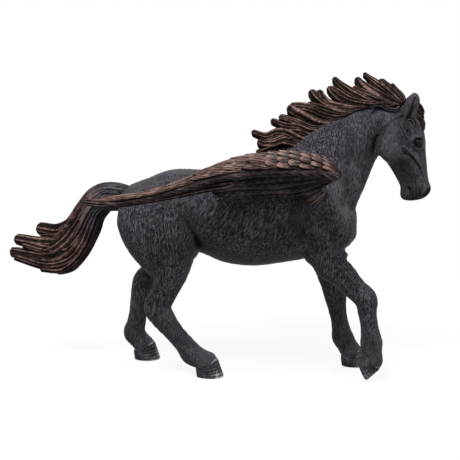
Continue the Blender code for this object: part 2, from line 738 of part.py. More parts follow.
def baked(item):
    """Mesh of an object with its modifiers applied; the object goes."""
    bpy.context.view_layer.update()
    graph = bpy.context.evaluated_depsgraph_get()
    data = bpy.data.meshes.new_from_object(item.evaluated_get(graph))
    bpy.data.objects.remove(item)
    return data


def joined(datas):
    mesh = bmesh.new()
    for data in datas:
        mesh.from_mesh(data)
        bpy.data.meshes.remove(data)
    data = bpy.data.meshes.new("joined")
    mesh.to_mesh(data)
    mesh.free()
    return data


def solid(data):
    """Drops the closed pockets left between overlapping feathers and locks."""
    mesh = bmesh.new()
    mesh.from_mesh(data)
    bmesh.ops.triangulate(mesh, faces=mesh.faces)
    unseen = set(mesh.verts)
    shells = []
    while unseen:
        edge = [unseen.pop()]
        shell = list(edge)
        while edge:
            for link in edge.pop().link_edges:
                for v in link.verts:
                    if v in unseen:
                        unseen.remove(v)
                        edge.append(v)
                        shell.append(v)
        shells.append(shell)
    shells.sort(key=len)
    for shell in shells[:-1]:
        bmesh.ops.delete(mesh, geom=shell, context="VERTS")
    mesh.to_mesh(data)
    mesh.free()
    return data


def mended(data):
    """Opens the places where two sheets share an edge and closes each sheet again by itself."""
    mesh = bmesh.new()
    mesh.from_mesh(data)
    for _ in range(MENDING_ROUNDS):
        bmesh.ops.remove_doubles(mesh, verts=mesh.verts, dist=SMALLEST_EDGE)
        shared = {v for edge in mesh.edges if len(edge.link_faces) != 2 for v in edge.verts}
        shared |= {v for v in mesh.verts if not v.is_manifold}
        if not shared:
            break
        bmesh.ops.delete(mesh, geom=list(shared), context="VERTS")
        bmesh.ops.holes_fill(mesh, edges=[edge for edge in mesh.edges if edge.is_boundary])
        bmesh.ops.triangulate(mesh, faces=[face for face in mesh.faces if len(face.verts) > 3])
    bmesh.ops.recalc_face_normals(mesh, faces=mesh.faces)
    mesh.to_mesh(data)
    mesh.free()
    return data


def thinned(item, triangles):
    """Adds a decimation down to a number of triangles."""
    count = sum(len(p.vertices) - 2 for p in item.data.polygons)
    cut = item.modifiers.new("thin", "DECIMATE")
    cut.ratio = min(1.0, triangles / count)
    cut.use_collapse_triangulate = True


def fused_flesh(parts, collection):
    """Melts the overlapping muscles into one skin and softens the joins."""
    item = placed("flesh", joined(parts), collection)
    remesh = item.modifiers.new("fuse", "REMESH")
    remesh.mode = "VOXEL"
    remesh.voxel_size = FLESH_VOXEL
    soften = item.modifiers.new("soften", "SMOOTH")
    soften.factor = 0.5
    soften.iterations = MUSCLE_BLEND_PASSES
    item = placed("flesh", baked(item), collection)
    thinned(item, FLESH_TRIANGLES)
    return placed("flesh", baked(item), collection)


def build():
    clear_scene()
    scene = bpy.context.scene
    figure = bpy.data.collections.new("winged_horse")
    extras = bpy.data.collections.new("extras")
    scene.collection.children.link(figure)
    scene.collection.children.link(extras)
    parts, feet = flesh_parts()
    item = fused_flesh(parts, figure)
    details = [hoof(*foot) for foot in feet] + face_details() + ears()
    details += mane() + forelock() + tail() + wing(NEAR) + wing(FAR)
    for data in details:
        placed("detail", data, extras)
    union = item.modifiers.new("union", "BOOLEAN")
    union.operation = "UNION"
    union.operand_type = "COLLECTION"
    union.collection = extras
    union.solver = "MANIFOLD"
    item = placed("winged_horse", solid(baked(item)), figure)
    for extra in list(extras.objects):
        bpy.data.objects.remove(extra)
    bpy.data.collections.remove(extras)
    thinned(item, FIGURE_TRIANGLES)
    item = placed("winged_horse", solid(mended(baked(item))), figure)
    item.data.materials.append(coat_material())
    settle(item.data)


build()
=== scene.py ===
"""Winged horse figurine: the painted and carved surface of the moulding.

Shapes are sculpted in millimetres in the same frame as the part's source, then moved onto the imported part.
+X is forward, +Y is the horse's left and +Z is up. The near side, which the camera sees, is at -Y.
"""

import math

import bmesh
import bpy
import numpy as np
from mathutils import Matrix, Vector


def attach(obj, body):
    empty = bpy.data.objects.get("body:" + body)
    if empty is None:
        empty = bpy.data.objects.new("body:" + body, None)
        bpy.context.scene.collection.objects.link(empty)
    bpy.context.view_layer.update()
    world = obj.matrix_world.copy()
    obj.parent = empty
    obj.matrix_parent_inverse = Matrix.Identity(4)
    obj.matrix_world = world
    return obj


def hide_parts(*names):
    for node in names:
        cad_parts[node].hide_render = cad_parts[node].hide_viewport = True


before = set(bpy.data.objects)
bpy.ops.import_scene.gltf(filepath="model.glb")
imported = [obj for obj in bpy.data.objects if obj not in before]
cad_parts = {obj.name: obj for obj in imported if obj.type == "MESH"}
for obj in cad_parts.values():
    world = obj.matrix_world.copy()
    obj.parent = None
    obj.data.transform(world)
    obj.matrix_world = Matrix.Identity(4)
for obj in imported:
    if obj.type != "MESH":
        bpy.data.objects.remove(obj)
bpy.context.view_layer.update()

NODE = "winged_horse"
BODY = "root"

MILLIMETRE = 0.001
SETTLE = (6.072, -0.640, 0.0)

# The photograph's view: 460 pixels square, this many millimetres a pixel at the target
PIXEL = 0.41
VIEW_AZIMUTH = 6.0
VIEW_ELEVATION = 8.5
VIEW_DISTANCE = 450.0
VIEW_TARGET = (0.0, 0.0, 58.25)
IMAGE_SIDE = 460
SENSOR = 36.0

# Mesh fineness
BODY_VOXEL = 0.71
BLEND_PASSES = 9
TUBE_SIDES = 36

# Trunk
HIP_X = -26.0
TRUNK_HALF_WIDTH = 17.0
HIP_HALF_SPREAD = 9.6
SHOULDER_X = 47.0
SHOULDER_DROP = 8.5
SHOULDER_HALF_SPREAD = 8.6
STANCE_HIND = 12.2
STANCE_FORE = 10.8

# Legs: bone lengths and their angles in degrees from straight down, positive forward
HIND_BONES = (19.0, 25.0, 22.8, 6.8)
FORE_BONES = (15.0, 22.3, 17.2, 7.6)
HIND_NEAR_POSE = (24.0, -24.0, 38.3, 60.0)
HIND_FAR_POSE = (24.4, -49.7, -13.2, 33.7)
FORE_NEAR_POSE = (-36.2, 51.0, 9.5, 0.5)
FORE_FAR_POSE = (-54.6, 22.2, 11.6, 27.0)
FORE_NEAR_HOOF_FLEX = 66.0

# Hooves
HOOF_HEIGHT = 5.6
CORONET_RISE = 1.9
CORONET_HALF_LENGTH = 4.6
CORONET_HALF_WIDTH = 4.4
SOLE_HALF_LENGTH = 5.6
SOLE_HALF_WIDTH = 5.2
TOE_LEAN = 1.5

# Head
POLL_X = 69.0
POLL_RISE = 40.2
HEAD_LENGTH = 36.3
HEAD_SLOPE = 12.0

# Wings
WING_HALF_SPAN = 44.9
WING_THICKNESS = 2.4
WING_BEAD = 1.0
WING_FAR_ROLL = 9.0
WING_FAR_DROP = 3.5
WING_HINGE_SPREAD = 12.0
WING_HINGE_RISE = 7.3

NEAR = -1
FAR = 1


def drop(bones, pose):
    """How far a leg reaches down."""
    return sum(length * math.cos(math.radians(angle)) for length, angle in zip(bones, pose))


HIP_Z = HOOF_HEIGHT + drop(HIND_BONES, HIND_NEAR_POSE)


# The photograph's camera


def view_axes():
    """Right, up and backward directions of the photograph's camera."""
    a, e = math.radians(VIEW_AZIMUTH), math.radians(VIEW_ELEVATION)
    back = np.array((math.sin(a) * math.cos(e), -math.cos(a) * math.cos(e), math.sin(e)))
    right = np.array((math.cos(a), math.sin(a), 0.0))
    return right, np.cross(back, right), back


RIGHT, UP, BACK = view_axes()
TARGET = np.array(VIEW_TARGET)
CENTRE = IMAGE_SIDE / 2


def seen(px, py, y):
    """Point at width y that the photograph shows at a pixel."""
    eye = TARGET + BACK * VIEW_DISTANCE
    spot = TARGET + RIGHT * (px - CENTRE) * PIXEL + UP * (CENTRE - py) * PIXEL
    ray = spot - eye
    return eye + ray * (y - eye[1]) / ray[1]


def pixels(points):
    """Pixels of the photograph at which points are seen."""
    away = points - TARGET
    scale = PIXEL * (1 - away @ BACK / VIEW_DISTANCE)
    return np.stack((CENTRE + away @ RIGHT / scale, CENTRE - away @ UP / scale), axis=1)


# Drawing. A shape is its points, faces, paint (0 in grooves to 1 on ridges) and greyness of each point


def through(rows, per_gap):
    """Smooth rows of numbers that pass through every given row (Catmull-Rom)."""
    rows = np.array(rows, float)
    padded = np.vstack((rows[:1], rows, rows[-1:]))
    out = []
    for i in range(len(rows) - 1):
        a, b, c, d = padded[i:i + 4]
        for t in np.arange(per_gap) / per_gap:
            out.append(0.5 * (2 * b + (c - a) * t + (2 * a - 5 * b + 4 * c - d) * t ** 2
                              + (3 * b - a - 3 * c + d) * t ** 3))
    out.append(rows[-1])
    return np.array(out)


def unit(vectors):
    return vectors / np.maximum(np.linalg.norm(vectors, axis=-1, keepdims=True), 1e-9)


def smooth_step(low, high, values):
    t = np.clip((values - low) / (high - low), 0, 1)
    return t * t * (3 - 2 * t)


def skin(rings, paint=None, grey=None):
    """Closed shape over rings of points with equal counts."""
    rings = np.array(rings, float)
    count, sides = rings.shape[:2]
    index = np.arange(count * sides).reshape(count, sides)
    following = np.roll(index, -1, axis=1)
    quads = np.stack((index[:-1], following[:-1], following[1:], index[1:]), axis=-1).reshape(-1, 4)
    faces = quads.tolist() + [index[0][::-1].tolist(), index[-1].tolist()]
    total = count * sides
    paint = np.full(total, 0.5) if paint is None else np.asarray(paint, float).reshape(-1)
    grey = np.zeros(total) if grey is None else np.asarray(grey, float).reshape(-1)
    return rings.reshape(-1, 3), faces, paint, grey


def rounded(count, power):
    """Points round a unit superellipse: power 2 is an ellipse, more is squarer."""
    angle = np.arange(count) * 2 * math.pi / count
    c, s = np.cos(angle), np.sin(angle)
    return angle, np.sign(c) * np.abs(c) ** (2 / power), np.sign(s) * np.abs(s) ** (2 / power)


def loft(stations, sides=TUBE_SIDES, power=2.0, per_gap=6, lateral=(0, 1, 0),
         strands=0, groove=0.0, twist=0.0, turn=0.0, grey=0.0, fine=0.0, under=0.0):
    """Tube through stations (x, y, z, front reach, back reach, half width), with strands of hair on it.

    Strands turn round the tube by twist along it, and grey is a number or a function of the way along.
    """
    rows = through(stations, per_gap)
    count = len(rows)
    places = rows[:, :3]
    tangent = unit(np.gradient(places, axis=0))
    beside = np.array(lateral, float)
    side = unit(beside - tangent * (tangent @ beside)[:, None])
    front = np.cross(tangent, side)
    angle, c, s = rounded(sides, power)
    along = np.linspace(0, 1, count)[:, None]
    ridge = np.ones((count, sides))
    if strands:
        uneven = angle + 0.14 * np.sin(2 * angle + 3 * turn) + 0.12 * np.sin(3 * angle + 5 * turn)
        ridge = np.abs(np.sin(strands / 2 * (uneven[None] + twist * along) + turn))
    threads = np.abs(np.sin(strands * 1.5 * (angle[None] + 0.8 * twist * along) + 2.3 * turn))
    swell = 1 - groove * (1 - ridge) ** 1.3 - fine * (1 - threads)
    reach = np.where(c >= 0, rows[:, 3:4], rows[:, 4:5]) * c * swell
    wide = rows[:, 5:6] * s * swell
    rings = places[:, None] + front[:, None] * reach[..., None] + side[:, None] * wide[..., None]
    paint = 0.04 + 0.34 * ridge ** 1.5 + 0.46 * ridge ** 9 + 1.4 * fine * threads
    # Painted shade: the underside of each lock is made darker
    paint = paint - under * smooth_step(0.1, 0.95, c)
    tone = np.full((count, sides), grey) if np.isscalar(grey) else grey(along + 0 * ridge)
    return skin(rings, paint, tone)


def slices(rows, along, y=0.0, sides=TUBE_SIDES, power=2.2, per_gap=6):
    """Body cut by parallel planes across x or z. Rows are (place, low, high, half width)."""
    rows = through(rows, per_gap)
    _, c, s = rounded(sides, power)
    middle, reach = (rows[:, 1:2] + rows[:, 2:3]) / 2, (rows[:, 2:3] - rows[:, 1:2]) / 2
    across = middle + c * reach
    beside = y + s * rows[:, 3:4]
    place = rows[:, :1] + 0 * c
    order = (place, beside, across) if along == "x" else (across, beside, place)
    return skin(np.stack(order, axis=-1))


def tilted(points, degrees):
    """Points turned about Y, the front going down."""
    a = math.radians(degrees)
    turn = np.array(((math.cos(a), 0, math.sin(a)), (0, 1, 0), (-math.sin(a), 0, math.cos(a))))
    return points @ turn.T


def ball(centre, radii, tilt=0.0, sides=24):
    """Ellipsoid, tilted by degrees."""
    rings = []
    for k in range(1, sides // 2):
        polar = math.pi * k / (sides // 2)
        angle = np.arange(sides) * 2 * math.pi / sides
        ring = np.stack((np.cos(angle) * math.sin(polar), np.sin(angle) * math.sin(polar),
                         np.full(sides, math.cos(polar))), axis=1)
        rings.append(tilted(ring * radii, tilt) + centre)
    return skin(rings)


def join(shapes):
    points, faces, paint, grey = [], [], [], []
    start = 0
    for part_points, part_faces, part_paint, part_grey in shapes:
        points.append(part_points)
        faces += [[start + i for i in face] for face in part_faces]
        paint.append(part_paint)
        grey.append(part_grey)
        start += len(part_points)
    return np.vstack(points), faces, np.concatenate(paint), np.concatenate(grey)


def repainted(shape, more):
    points, faces, paint, grey = shape
    return points, faces, paint + more, grey


def mirrored(shape, down=0.0):
    points, faces, paint, grey = shape
    return points * (1, -1, 1) - (0, 0, down), [face[::-1] for face in faces], paint, grey


# Body


def trunk():
    z, w = HIP_Z, TRUNK_HALF_WIDTH
    rows = [
        (-45.5, z - 5, z + 6.5, 0.32 * w),
        (-42.0, z - 11, z + 9.0, 0.56 * w),
        (-34.0, z - 16, z + 12.2, 0.82 * w),
        (-24.0, z - 17, z + 15.8, 0.92 * w),
        (-12.0, z - 18.2, z + 15.9, 0.90 * w),
        (-2.0, z - 22.0, z + 15.6, 0.97 * w),
        (10.0, z - 23.2, z + 16.0, 1.0 * w),
        (22.0, z - 21.6, z + 17.0, 0.96 * w),
        (32.0, z - 19.6, z + 14.5, 0.88 * w),
        (41.0, z - 16.6, z + 10.0, 0.78 * w),
        (47.5, z - 15.2, z + 4.0, 0.62 * w),
        (51.6, z - 10.6, z - 1.0, 0.28 * w),
    ]
    return slices(rows, "x", sides=48)


def withers():
    z = HIP_Z
    rows = [
        (-14.0, 0, z + 11.5, 3.0, 6.0, 6.0),
        (-4.0, 0, z + 12.5, 4.4, 8.0, 8.0),
        (6.0, 0, z + 14.0, 6.0, 10.0, 9.0),
        (15.0, 0, z + 15.6, 6.6, 10.0, 9.5),
        (26.0, 0, z + 16.5, 8.0, 10.0, 9.5),
        (36.0, 0, z + 14.0, 6.0, 8.0, 7.0),
    ]
    return loft(rows)


def shoulder(side):
    z = HIP_Z
    return [
        ball((34.0, side * 9.5, z - 2.0), (9.5, 6.2, 19.0), -24.0),
        ball((38.0, side * 8.8, z - 14.5), (8.8, 6.0, 8.2), 24.0),
        ball((46.0, side * 6.5, z - 6.5), (5.0, 5.0, 8.0), 12.0),
    ]


def thigh(side):
    z = HIP_Z
    rows = [
        (z + 10.0, -33.0, -22.0, 3.0),
        (z + 4.0, -42.5, -15.5, 6.4),
        (z - 4.0, -45.0, -12.2, 8.2),
        (z - 11.0, -43.4, -12.2, 8.4),
        (z - 17.5, -39.8, -14.3, 7.8),
        (z - 22.5, -35.6, -17.2, 6.8),
        (z - 26.0, -32.2, -19.0, 5.2),
    ]
    return slices(rows, "z", y=side * HIP_HALF_SPREAD)


def chain(start, bones, pose, y_end):
    """Joints of a leg, from its first joint down."""
    joints = [np.array(start, float)]
    for length, angle in zip(bones, pose):
        a = math.radians(angle)
        joints.append(joints[-1] + np.array((math.sin(a), 0, -math.cos(a))) * length)
    for i, joint in enumerate(joints):
        joint[1] = start[1] + (y_end - start[1]) * i / (len(joints) - 1)
    return joints


# Girths of the legs: bone, share along it, front reach, back reach, half width
HIND_GIRTHS = (
    (0, 0.60, 7.4, 9.0, 6.5),
    (1, 0.00, 5.0, 10.0, 6.6),
    (1, 0.35, 5.8, 8.2, 5.8),
    (1, 0.70, 5.0, 5.8, 4.3),
    (1, 0.95, 5.0, 6.3, 4.2),
    (2, 0.15, 4.6, 5.7, 4.0),
    (2, 0.50, 3.5, 4.7, 3.4),
    (2, 0.80, 3.9, 4.3, 3.6),
    (3, 0.00, 4.4, 5.0, 4.3),
    (3, 0.55, 4.1, 4.4, 4.0),
    (3, 0.95, 4.6, 4.4, 4.5),
    (3, 1.25, 4.5, 3.0, 4.4),
    (3, 1.50, 2.8, 1.6, 3.2),
)
FORE_GIRTHS = (
    (0, 0.35, 6.2, 5.4, 5.5),
    (1, 0.00, 6.5, 4.2, 5.6),
    (1, 0.35, 7.5, 3.8, 5.0),
    (1, 0.75, 5.4, 4.0, 4.1),
    (1, 1.00, 4.9, 4.5, 4.3),
    (2, 0.30, 3.8, 4.0, 3.5),
    (2, 0.60, 3.5, 3.7, 3.3),
    (2, 0.85, 3.9, 4.3, 3.7),
    (3, 0.05, 4.4, 4.9, 4.2),
    (3, 0.55, 4.1, 4.4, 4.0),
    (3, 0.95, 4.6, 4.3, 4.5),
    (3, 1.20, 4.3, 3.2, 4.3),
    (3, 1.36, 2.8, 2.0, 3.0),
)


def leg(start, bones, pose, y_end, girths):
    """Leg from its first joint down, and its last joint, where the hoof begins."""
    joints = chain(start, bones, pose, y_end)
    stations = []
    for bone, share, front, back, half in girths:
        place = joints[bone] + (joints[bone + 1] - joints[bone]) * share
        stations.append((*place, front, back, half))
    return loft(stations), joints[-1]


def hind_leg(side, pose):
    start = (HIP_X, side * HIP_HALF_SPREAD, HIP_Z)
    return leg(start, HIND_BONES, pose, side * STANCE_HIND, HIND_GIRTHS)


def fore_leg(side, pose):
    start = (SHOULDER_X, side * SHOULDER_HALF_SPREAD, HIP_Z - SHOULDER_DROP)
    return leg(start, FORE_BONES, pose, side * STANCE_FORE, FORE_GIRTHS)


def neck():
    z = HIP_Z
    rows = [
        (27.0, 0, z + 2.0, 18.0, 20.4, 13.5),
        (33.0, 0, z + 7.8, 19.8, 19.8, 13.0),
        (38.5, 0, z + 15.0, 18.2, 17.4, 11.2),
        (43.5, 0, z + 21.6, 16.4, 15.4, 9.4),
        (49.0, 0, z + 27.6, 14.2, 12.8, 8.0),
        (55.0, 0, z + 32.4, 10.8, 10.4, 7.0),
        (61.0, 0, z + 35.6, 7.4, 9.6, 6.5),
        (67.0, 0, z + 36.6, 4.2, 8.0, 5.7),
    ]
    return loft(rows, power=2.1, sides=40)


def on_head(down, out, y=0.0):
    """Point on the head: down the face as a share of its length, out of the forehead, and beside."""
    a = math.radians(HEAD_SLOPE)
    poll = np.array((POLL_X, 0, HIP_Z + POLL_RISE))
    along = np.array((math.sin(a), 0, -math.cos(a)))
    forward = np.array((math.cos(a), 0, math.sin(a)))
    return poll + along * (down * HEAD_LENGTH) + forward * out + np.array((0, y, 0))


def head():
    rows = []
    for share, front, back, half in (
        (-0.04, 3.5, 4.5, 4.2),
        (0.05, 5.8, 7.0, 5.4),
        (0.16, 6.9, 8.5, 6.1),
        (0.28, 6.7, 10.6, 6.5),
        (0.38, 6.5, 12.2, 6.1),
        (0.48, 5.9, 11.0, 5.3),
        (0.59, 5.5, 9.2, 4.5),
        (0.72, 5.0, 7.6, 3.9),
        (0.82, 4.9, 6.7, 3.8),
        (0.91, 5.2, 7.5, 4.1),
        (0.97, 3.2, 6.4, 3.5),
        (0.995, 0.9, 3.2, 2.2),
    ):
        rows.append((*on_head(share, 0), front, back, half))
    return loft(rows, power=2.3, sides=36)


def face(side):
    """Cheek, brow and nostril rim."""
    return [
        ball(on_head(0.36, -6.2, side * 3.3), (6.6, 3.6, 6.9), 10.0),
        ball(on_head(0.27, 3.2, side * 4.7), (2.6, 1.6, 1.6), 30.0),
        ball(on_head(0.91, 2.0, side * 2.9), (1.9, 1.4, 2.4), 20.0),
    ]


# Leaf-shaped ear, leaning forward from a broad base: pixels of its middle, half depth, half width
EAR = (
    (404, 120, 3.0, 2.0),
    (409, 112, 3.7, 2.6),
    (412.2, 104, 3.0, 2.2),
    (415.4, 97.5, 2.1, 1.5),
    (416.2, 92.6, 0.7, 0.6),
)

# The ears stand this far from the middle at one row of the picture, and more by the splay for each row above
EAR_SPREAD = 3.8
EAR_SPREAD_ROW = 115
EAR_SPLAY = 0.05


def ear(side):
    rows = []
    for px, py, depth, half in EAR:
        place = seen(px, py, -EAR_SPREAD - EAR_SPLAY * (EAR_SPREAD_ROW - py))
        rows.append((place[0], -side * place[1], place[2], depth, depth, half))
    return loft(rows, sides=16, per_gap=3)


def body_parts():
    parts = [trunk(), withers(), neck(), head(), *face(NEAR), *face(FAR), ear(NEAR), ear(FAR)]
    feet = []
    legs = (
        (NEAR, HIND_NEAR_POSE, FORE_NEAR_POSE, FORE_NEAR_HOOF_FLEX),
        (FAR, HIND_FAR_POSE, FORE_FAR_POSE, 0.0),
    )
    for side, hind_pose, fore_pose, flex in legs:
        hind, hind_coronet = hind_leg(side, hind_pose)
        fore, fore_coronet = fore_leg(side, fore_pose)
        parts += [thigh(side), hind, fore, *shoulder(side)]
        feet += [(hind_coronet, 0.0), (fore_coronet, flex)]
    return parts, feet


# Carving. A stroke follows pixels of the photograph: (path, radius in pixels, height in millimetres), and a
# fourth value names its side where only one side has it

FORMS = (
    (((180, 206), (184, 219), (189, 230), (194.5, 238), (198.5, 245)), 4.2, -1.3),
    (((175, 206), (179, 220), (184, 232), (189, 242)), 6.0, 0.7),
    (((196, 240), (199, 246), (201, 251)), 3.5, -0.9),
    (((303, 200), (301, 216), (304, 232), (309, 246)), 11.0, -1.3),
    (((322, 200), (327, 217), (333, 232)), 9.0, -0.8),
    (((334, 243), (342, 252)), 4.0, -0.9),
    (((341, 214), (347, 226), (344, 240)), 8.0, 0.9),
    (((376, 137), (384, 128), (393, 121), (402, 117)), 2.0, -0.35),
    (((373, 137), (381, 127), (391, 119)), 4.0, 0.3),
    (((377, 136), (374.5, 142), (373, 150)), 2.6, -1.3),
    (((347, 150), (352, 170), (352, 190), (346, 204)), 9.0, -0.7),
    (((305, 212), (299, 228), (297, 243)), 5.0, -0.4),
    (((150, 254), (157, 262), (163, 270)), 4.0, -0.7, NEAR),
    (((168, 258), (163, 276), (158, 288)), 6.0, 0.5, NEAR),
)

FACE_FORMS = (
    (((402.7, 151), (406, 154.5), (411, 156.5), (415, 161), (418.8, 166.5), (423.5, 177)), 1.3, -0.55),
    (((404, 147), (410, 152), (416, 158), (421, 166)), 2.4, 0.5),
    (((399, 156), (406, 160), (412, 166), (416, 175)), 3.0, 0.3),
    (((401, 128), (404, 136), (402, 145)), 1.8, -0.4),
    (((406, 136), (409, 140), (409, 146)), 1.6, 0.35),
    (((411.5, 141), (415, 137.2), (419.5, 136.5), (422.5, 138.2)), 1.6, 0.6),
    (((412.5, 145), (415.5, 148.8), (420, 149.5), (424, 147)), 1.4, 0.5),
    (((414, 151.5), (418, 153), (422, 151)), 1.5, -0.4),
    (((404, 172), (409, 176), (412, 183)), 2.0, -0.3),
    (((412, 158), (412, 168), (413, 178)), 3.2, -0.35),
    (((420, 157), (423, 170), (426, 182)), 2.4, -0.25),
    (((429.2, 189.0), (427, 192.5), (424.2, 195.8)), 2.3, -1.7),
    (((430.5, 186.5), (427.0, 188.5), (423.5, 192), (422, 196)), 1.8, 0.5),
    (((408.5, 187.5), (410.5, 191), (412, 195), (412.8, 201)), 1.5, -0.7),
    (((408.5, 187.8), (409.8, 189.6)), 1.8, -0.6),
    (((405, 187), (406, 192), (408, 197)), 3.0, 0.3),
    (((407.5, 119), (410, 113.5), (412.5, 107), (415, 99)), 2.6, -1.3),
    (((402, 117), (400, 124), (401, 133)), 2.5, -0.35),
    (((406, 122), (409, 128), (408, 134)), 2.0, 0.4),
)

# Painted shade on the coat, in its creases, hollows and gaps, under the head and round the eyes: (path,
# radius in pixels, share)
PAINTED_SHADE = (
    (((408, 119.5), (411, 113), (413.5, 106)), 2.8, 0.85),
    (((405, 120), (407.5, 125), (407, 132)), 2.0, 0.6),
    (((405, 153), (411, 156.5), (418.8, 166.5), (423.5, 177)), 1.2, 0.5),
    (((429.2, 189.5), (427, 193), (424.2, 196)), 2.1, 1.0),
    (((408.5, 187), (410, 190.5)), 2.0, 0.9),
    (((410.5, 191), (412, 196), (412.7, 201)), 1.3, 0.8),
    (((375.5, 138), (373.8, 145), (372.5, 152)), 2.4, 0.95),
    (((377, 137), (390, 124), (402, 117)), 1.3, 0.3),
    (((404, 168), (411, 182), (416, 196)), 12.0, 0.66),
    (((350, 156), (362, 143), (372, 130)), 18.0, 0.22),
    (((398, 184), (401, 192), (407, 198)), 7.0, 0.4),
    (((413.6, 143), (415, 140.2), (418, 138.9), (421.5, 139.6)), 1.5, 0.95),
    (((413.8, 143), (415.2, 146.4), (418.4, 147.6), (421.5, 146)), 1.4, 0.9),
    (((406.5, 126), (410, 130), (411, 136)), 2.0, 0.45),
    (((419, 149), (420, 152), (420, 155)), 1.6, 0.35),
    (((195.5, 237), (197.5, 242), (199, 247)), 3.8, 0.95),
    (((183, 212.8), (188, 226), (196, 240)), 2.6, 0.5),
    (((148, 253.8), (155, 266.6)), 2.5, 0.35),
    (((296, 205), (294, 218), (298, 232)), 10.0, 0.55),
    (((318, 205), (326, 222), (334, 238)), 6.0, 0.40),
)
# Painted highlights where the light falls on the shoulder, neck, face, ear and rump: (path, radius in pixels,
# share)
PAINTED_HIGHLIGHT = (
    (((336, 186), (343, 206), (347, 226)), 10.0, 0.14),
    (((306, 207), (311, 220), (318, 234)), 5.0, 0.05),
    (((421, 150), (424, 165), (427, 181)), 3.0, 0.10),
    (((411, 150), (417, 157), (421, 166)), 2.6, 0.10),
    (((403.5, 146), (409, 151), (414, 155)), 1.6, 0.10),
    (((388, 136), (391, 147), (396, 158)), 9.0, 0.06),
    (((412, 98), (415, 95), (417, 98)), 2.5, 0.06),
    (((150, 200), (170, 196), (185, 200)), 14.0, 0.04),
    (((378, 140), (384, 133), (392, 126)), 3.0, 0.05),
)

# How far from the middle strokes begin and over what width, and how high the coat's tufts stand
FORMS_LOW = 2.0
FACE_FORMS_LOW = 1.0
CARVE_FADE = 0.8
COAT_RELIEF = 0.055

# Pixels round the face's strokes that have a finer mesh
STROKE_MARGIN = 0.6


def near_path(spots, path):
    """Distance of points in the picture from a path of pixels."""
    best = np.full(len(spots), 1e9)
    for a, b in zip(path, path[1:]):
        a, b = np.array(a, float), np.array(b, float)
        run = b - a
        t = np.clip((spots - a) @ run / (run @ run), 0, 1)
        best = np.minimum(best, np.linalg.norm(spots - a - t[:, None] * run, axis=1))
    return best


def carve(points, normals, strokes, low):
    """Pushes points in or out along strokes, but none within low millimetres of the middle."""
    moved = points.copy()
    views = {NEAR: pixels(points), FAR: pixels(points * (1, -1, 1))}
    for path, radius, height, *only in strokes:
        for view, spots in views.items():
            if only and view not in only:
                continue
            outward = smooth_step(0.0, 0.35, normals[:, 1] * view)
            beyond = smooth_step(low, low + CARVE_FADE, points[:, 1] * view)
            fade = np.clip(1 - (near_path(spots, path) / radius) ** 2, 0, 1) ** 2
            moved += normals * (fade * outward * beyond * height)[:, None]
    return moved


def new_mesh(name, shape):
    data = bpy.data.meshes.new(name)
    data.from_pydata(shape[0].tolist(), [], shape[1])
    data.update()
    return data


def placed(name, data):
    item = bpy.data.objects.new(name, data)
    bpy.context.scene.collection.objects.link(item)
    return item


def baked(item):
    """Mesh of an object with its modifiers applied; the object goes."""
    bpy.context.view_layer.update()
    graph = bpy.context.evaluated_depsgraph_get()
    data = bpy.data.meshes.new_from_object(item.evaluated_get(graph))
    bpy.data.objects.remove(item)
    return data


def vectors(data, field):
    values = np.empty(len(data.vertices) * 3)
    data.vertices.foreach_get(field, values)
    return values.reshape(-1, 3)


def move_points(data, points):
    data.vertices.foreach_set("co", points.astype(np.float32).ravel())
    data.update()


def finer(data, chosen):
    """Splits the faces whose centres the test picks."""
    centres = np.empty(len(data.polygons) * 3)
    data.polygons.foreach_get("center", centres)
    picked = chosen(centres.reshape(-1, 3))
    mesh = bmesh.new()
    mesh.from_mesh(data)
    faces = [face for face, wanted in zip(mesh.faces, picked) if wanted]
    edges = {e for f in faces for e in f.edges}
    bmesh.ops.subdivide_edges(mesh, edges=list(edges), cuts=1, use_grid_fill=True)
    mesh.to_mesh(data)
    mesh.free()


# The head is in front of these, above the hip
HEAD_BACK = 64
HEAD_BOTTOM = 2
JAW_X = 66
JAW_RISE = 20
JAW_SLOPE = 0.25


def on_the_head(centres):
    x, _, z = centres.T
    jaw = JAW_X - JAW_SLOPE * (z - HIP_Z - JAW_RISE)
    return (x > HEAD_BACK) & (z > HIP_Z + HEAD_BOTTOM) & (x > jaw)


def by_face_strokes(centres):
    hit = np.zeros(len(centres), bool)
    for spots in (pixels(centres), pixels(centres * (1, -1, 1))):
        for path, radius, _ in FACE_FORMS:
            hit |= near_path(spots, path) < radius + STROKE_MARGIN
    return hit & on_the_head(centres)


def painted(points, strokes):
    """Share of paint that strokes leave on points of both sides."""
    share = np.zeros(len(points))
    spots = np.where(points[:, 1:2] < 0, pixels(points), pixels(points * (1, -1, 1)))
    beyond = smooth_step(0.5, 2.0, np.abs(points[:, 1]))
    for path, radius, strength in strokes:
        fade = np.clip(1 - (near_path(spots, path) / radius) ** 2, 0, 1)
        share = np.maximum(share, strength * fade * beyond)
    return share


def hair_relief(points):
    """Soft sculpted tufts of the coat, longer than wide."""
    x, y, z = points.T
    lean = 0.25 * z
    bent = 1.3 * np.sin(0.35 * z + 0.2 * y)
    broad = np.sin(2.1 * (x - lean) + bent) * np.sin(0.55 * z + 0.8 * x + 0.4 * y)
    narrow = np.sin(3.4 * (x - 0.6 * lean) + 0.9 * y) * np.sin(0.8 * z - 0.5 * x)
    return broad + 0.7 * narrow


def set_attribute(data, name, values):
    made = data.attributes.new(name, "FLOAT", "POINT")
    made.data.foreach_set("value", np.asarray(values, np.float32))


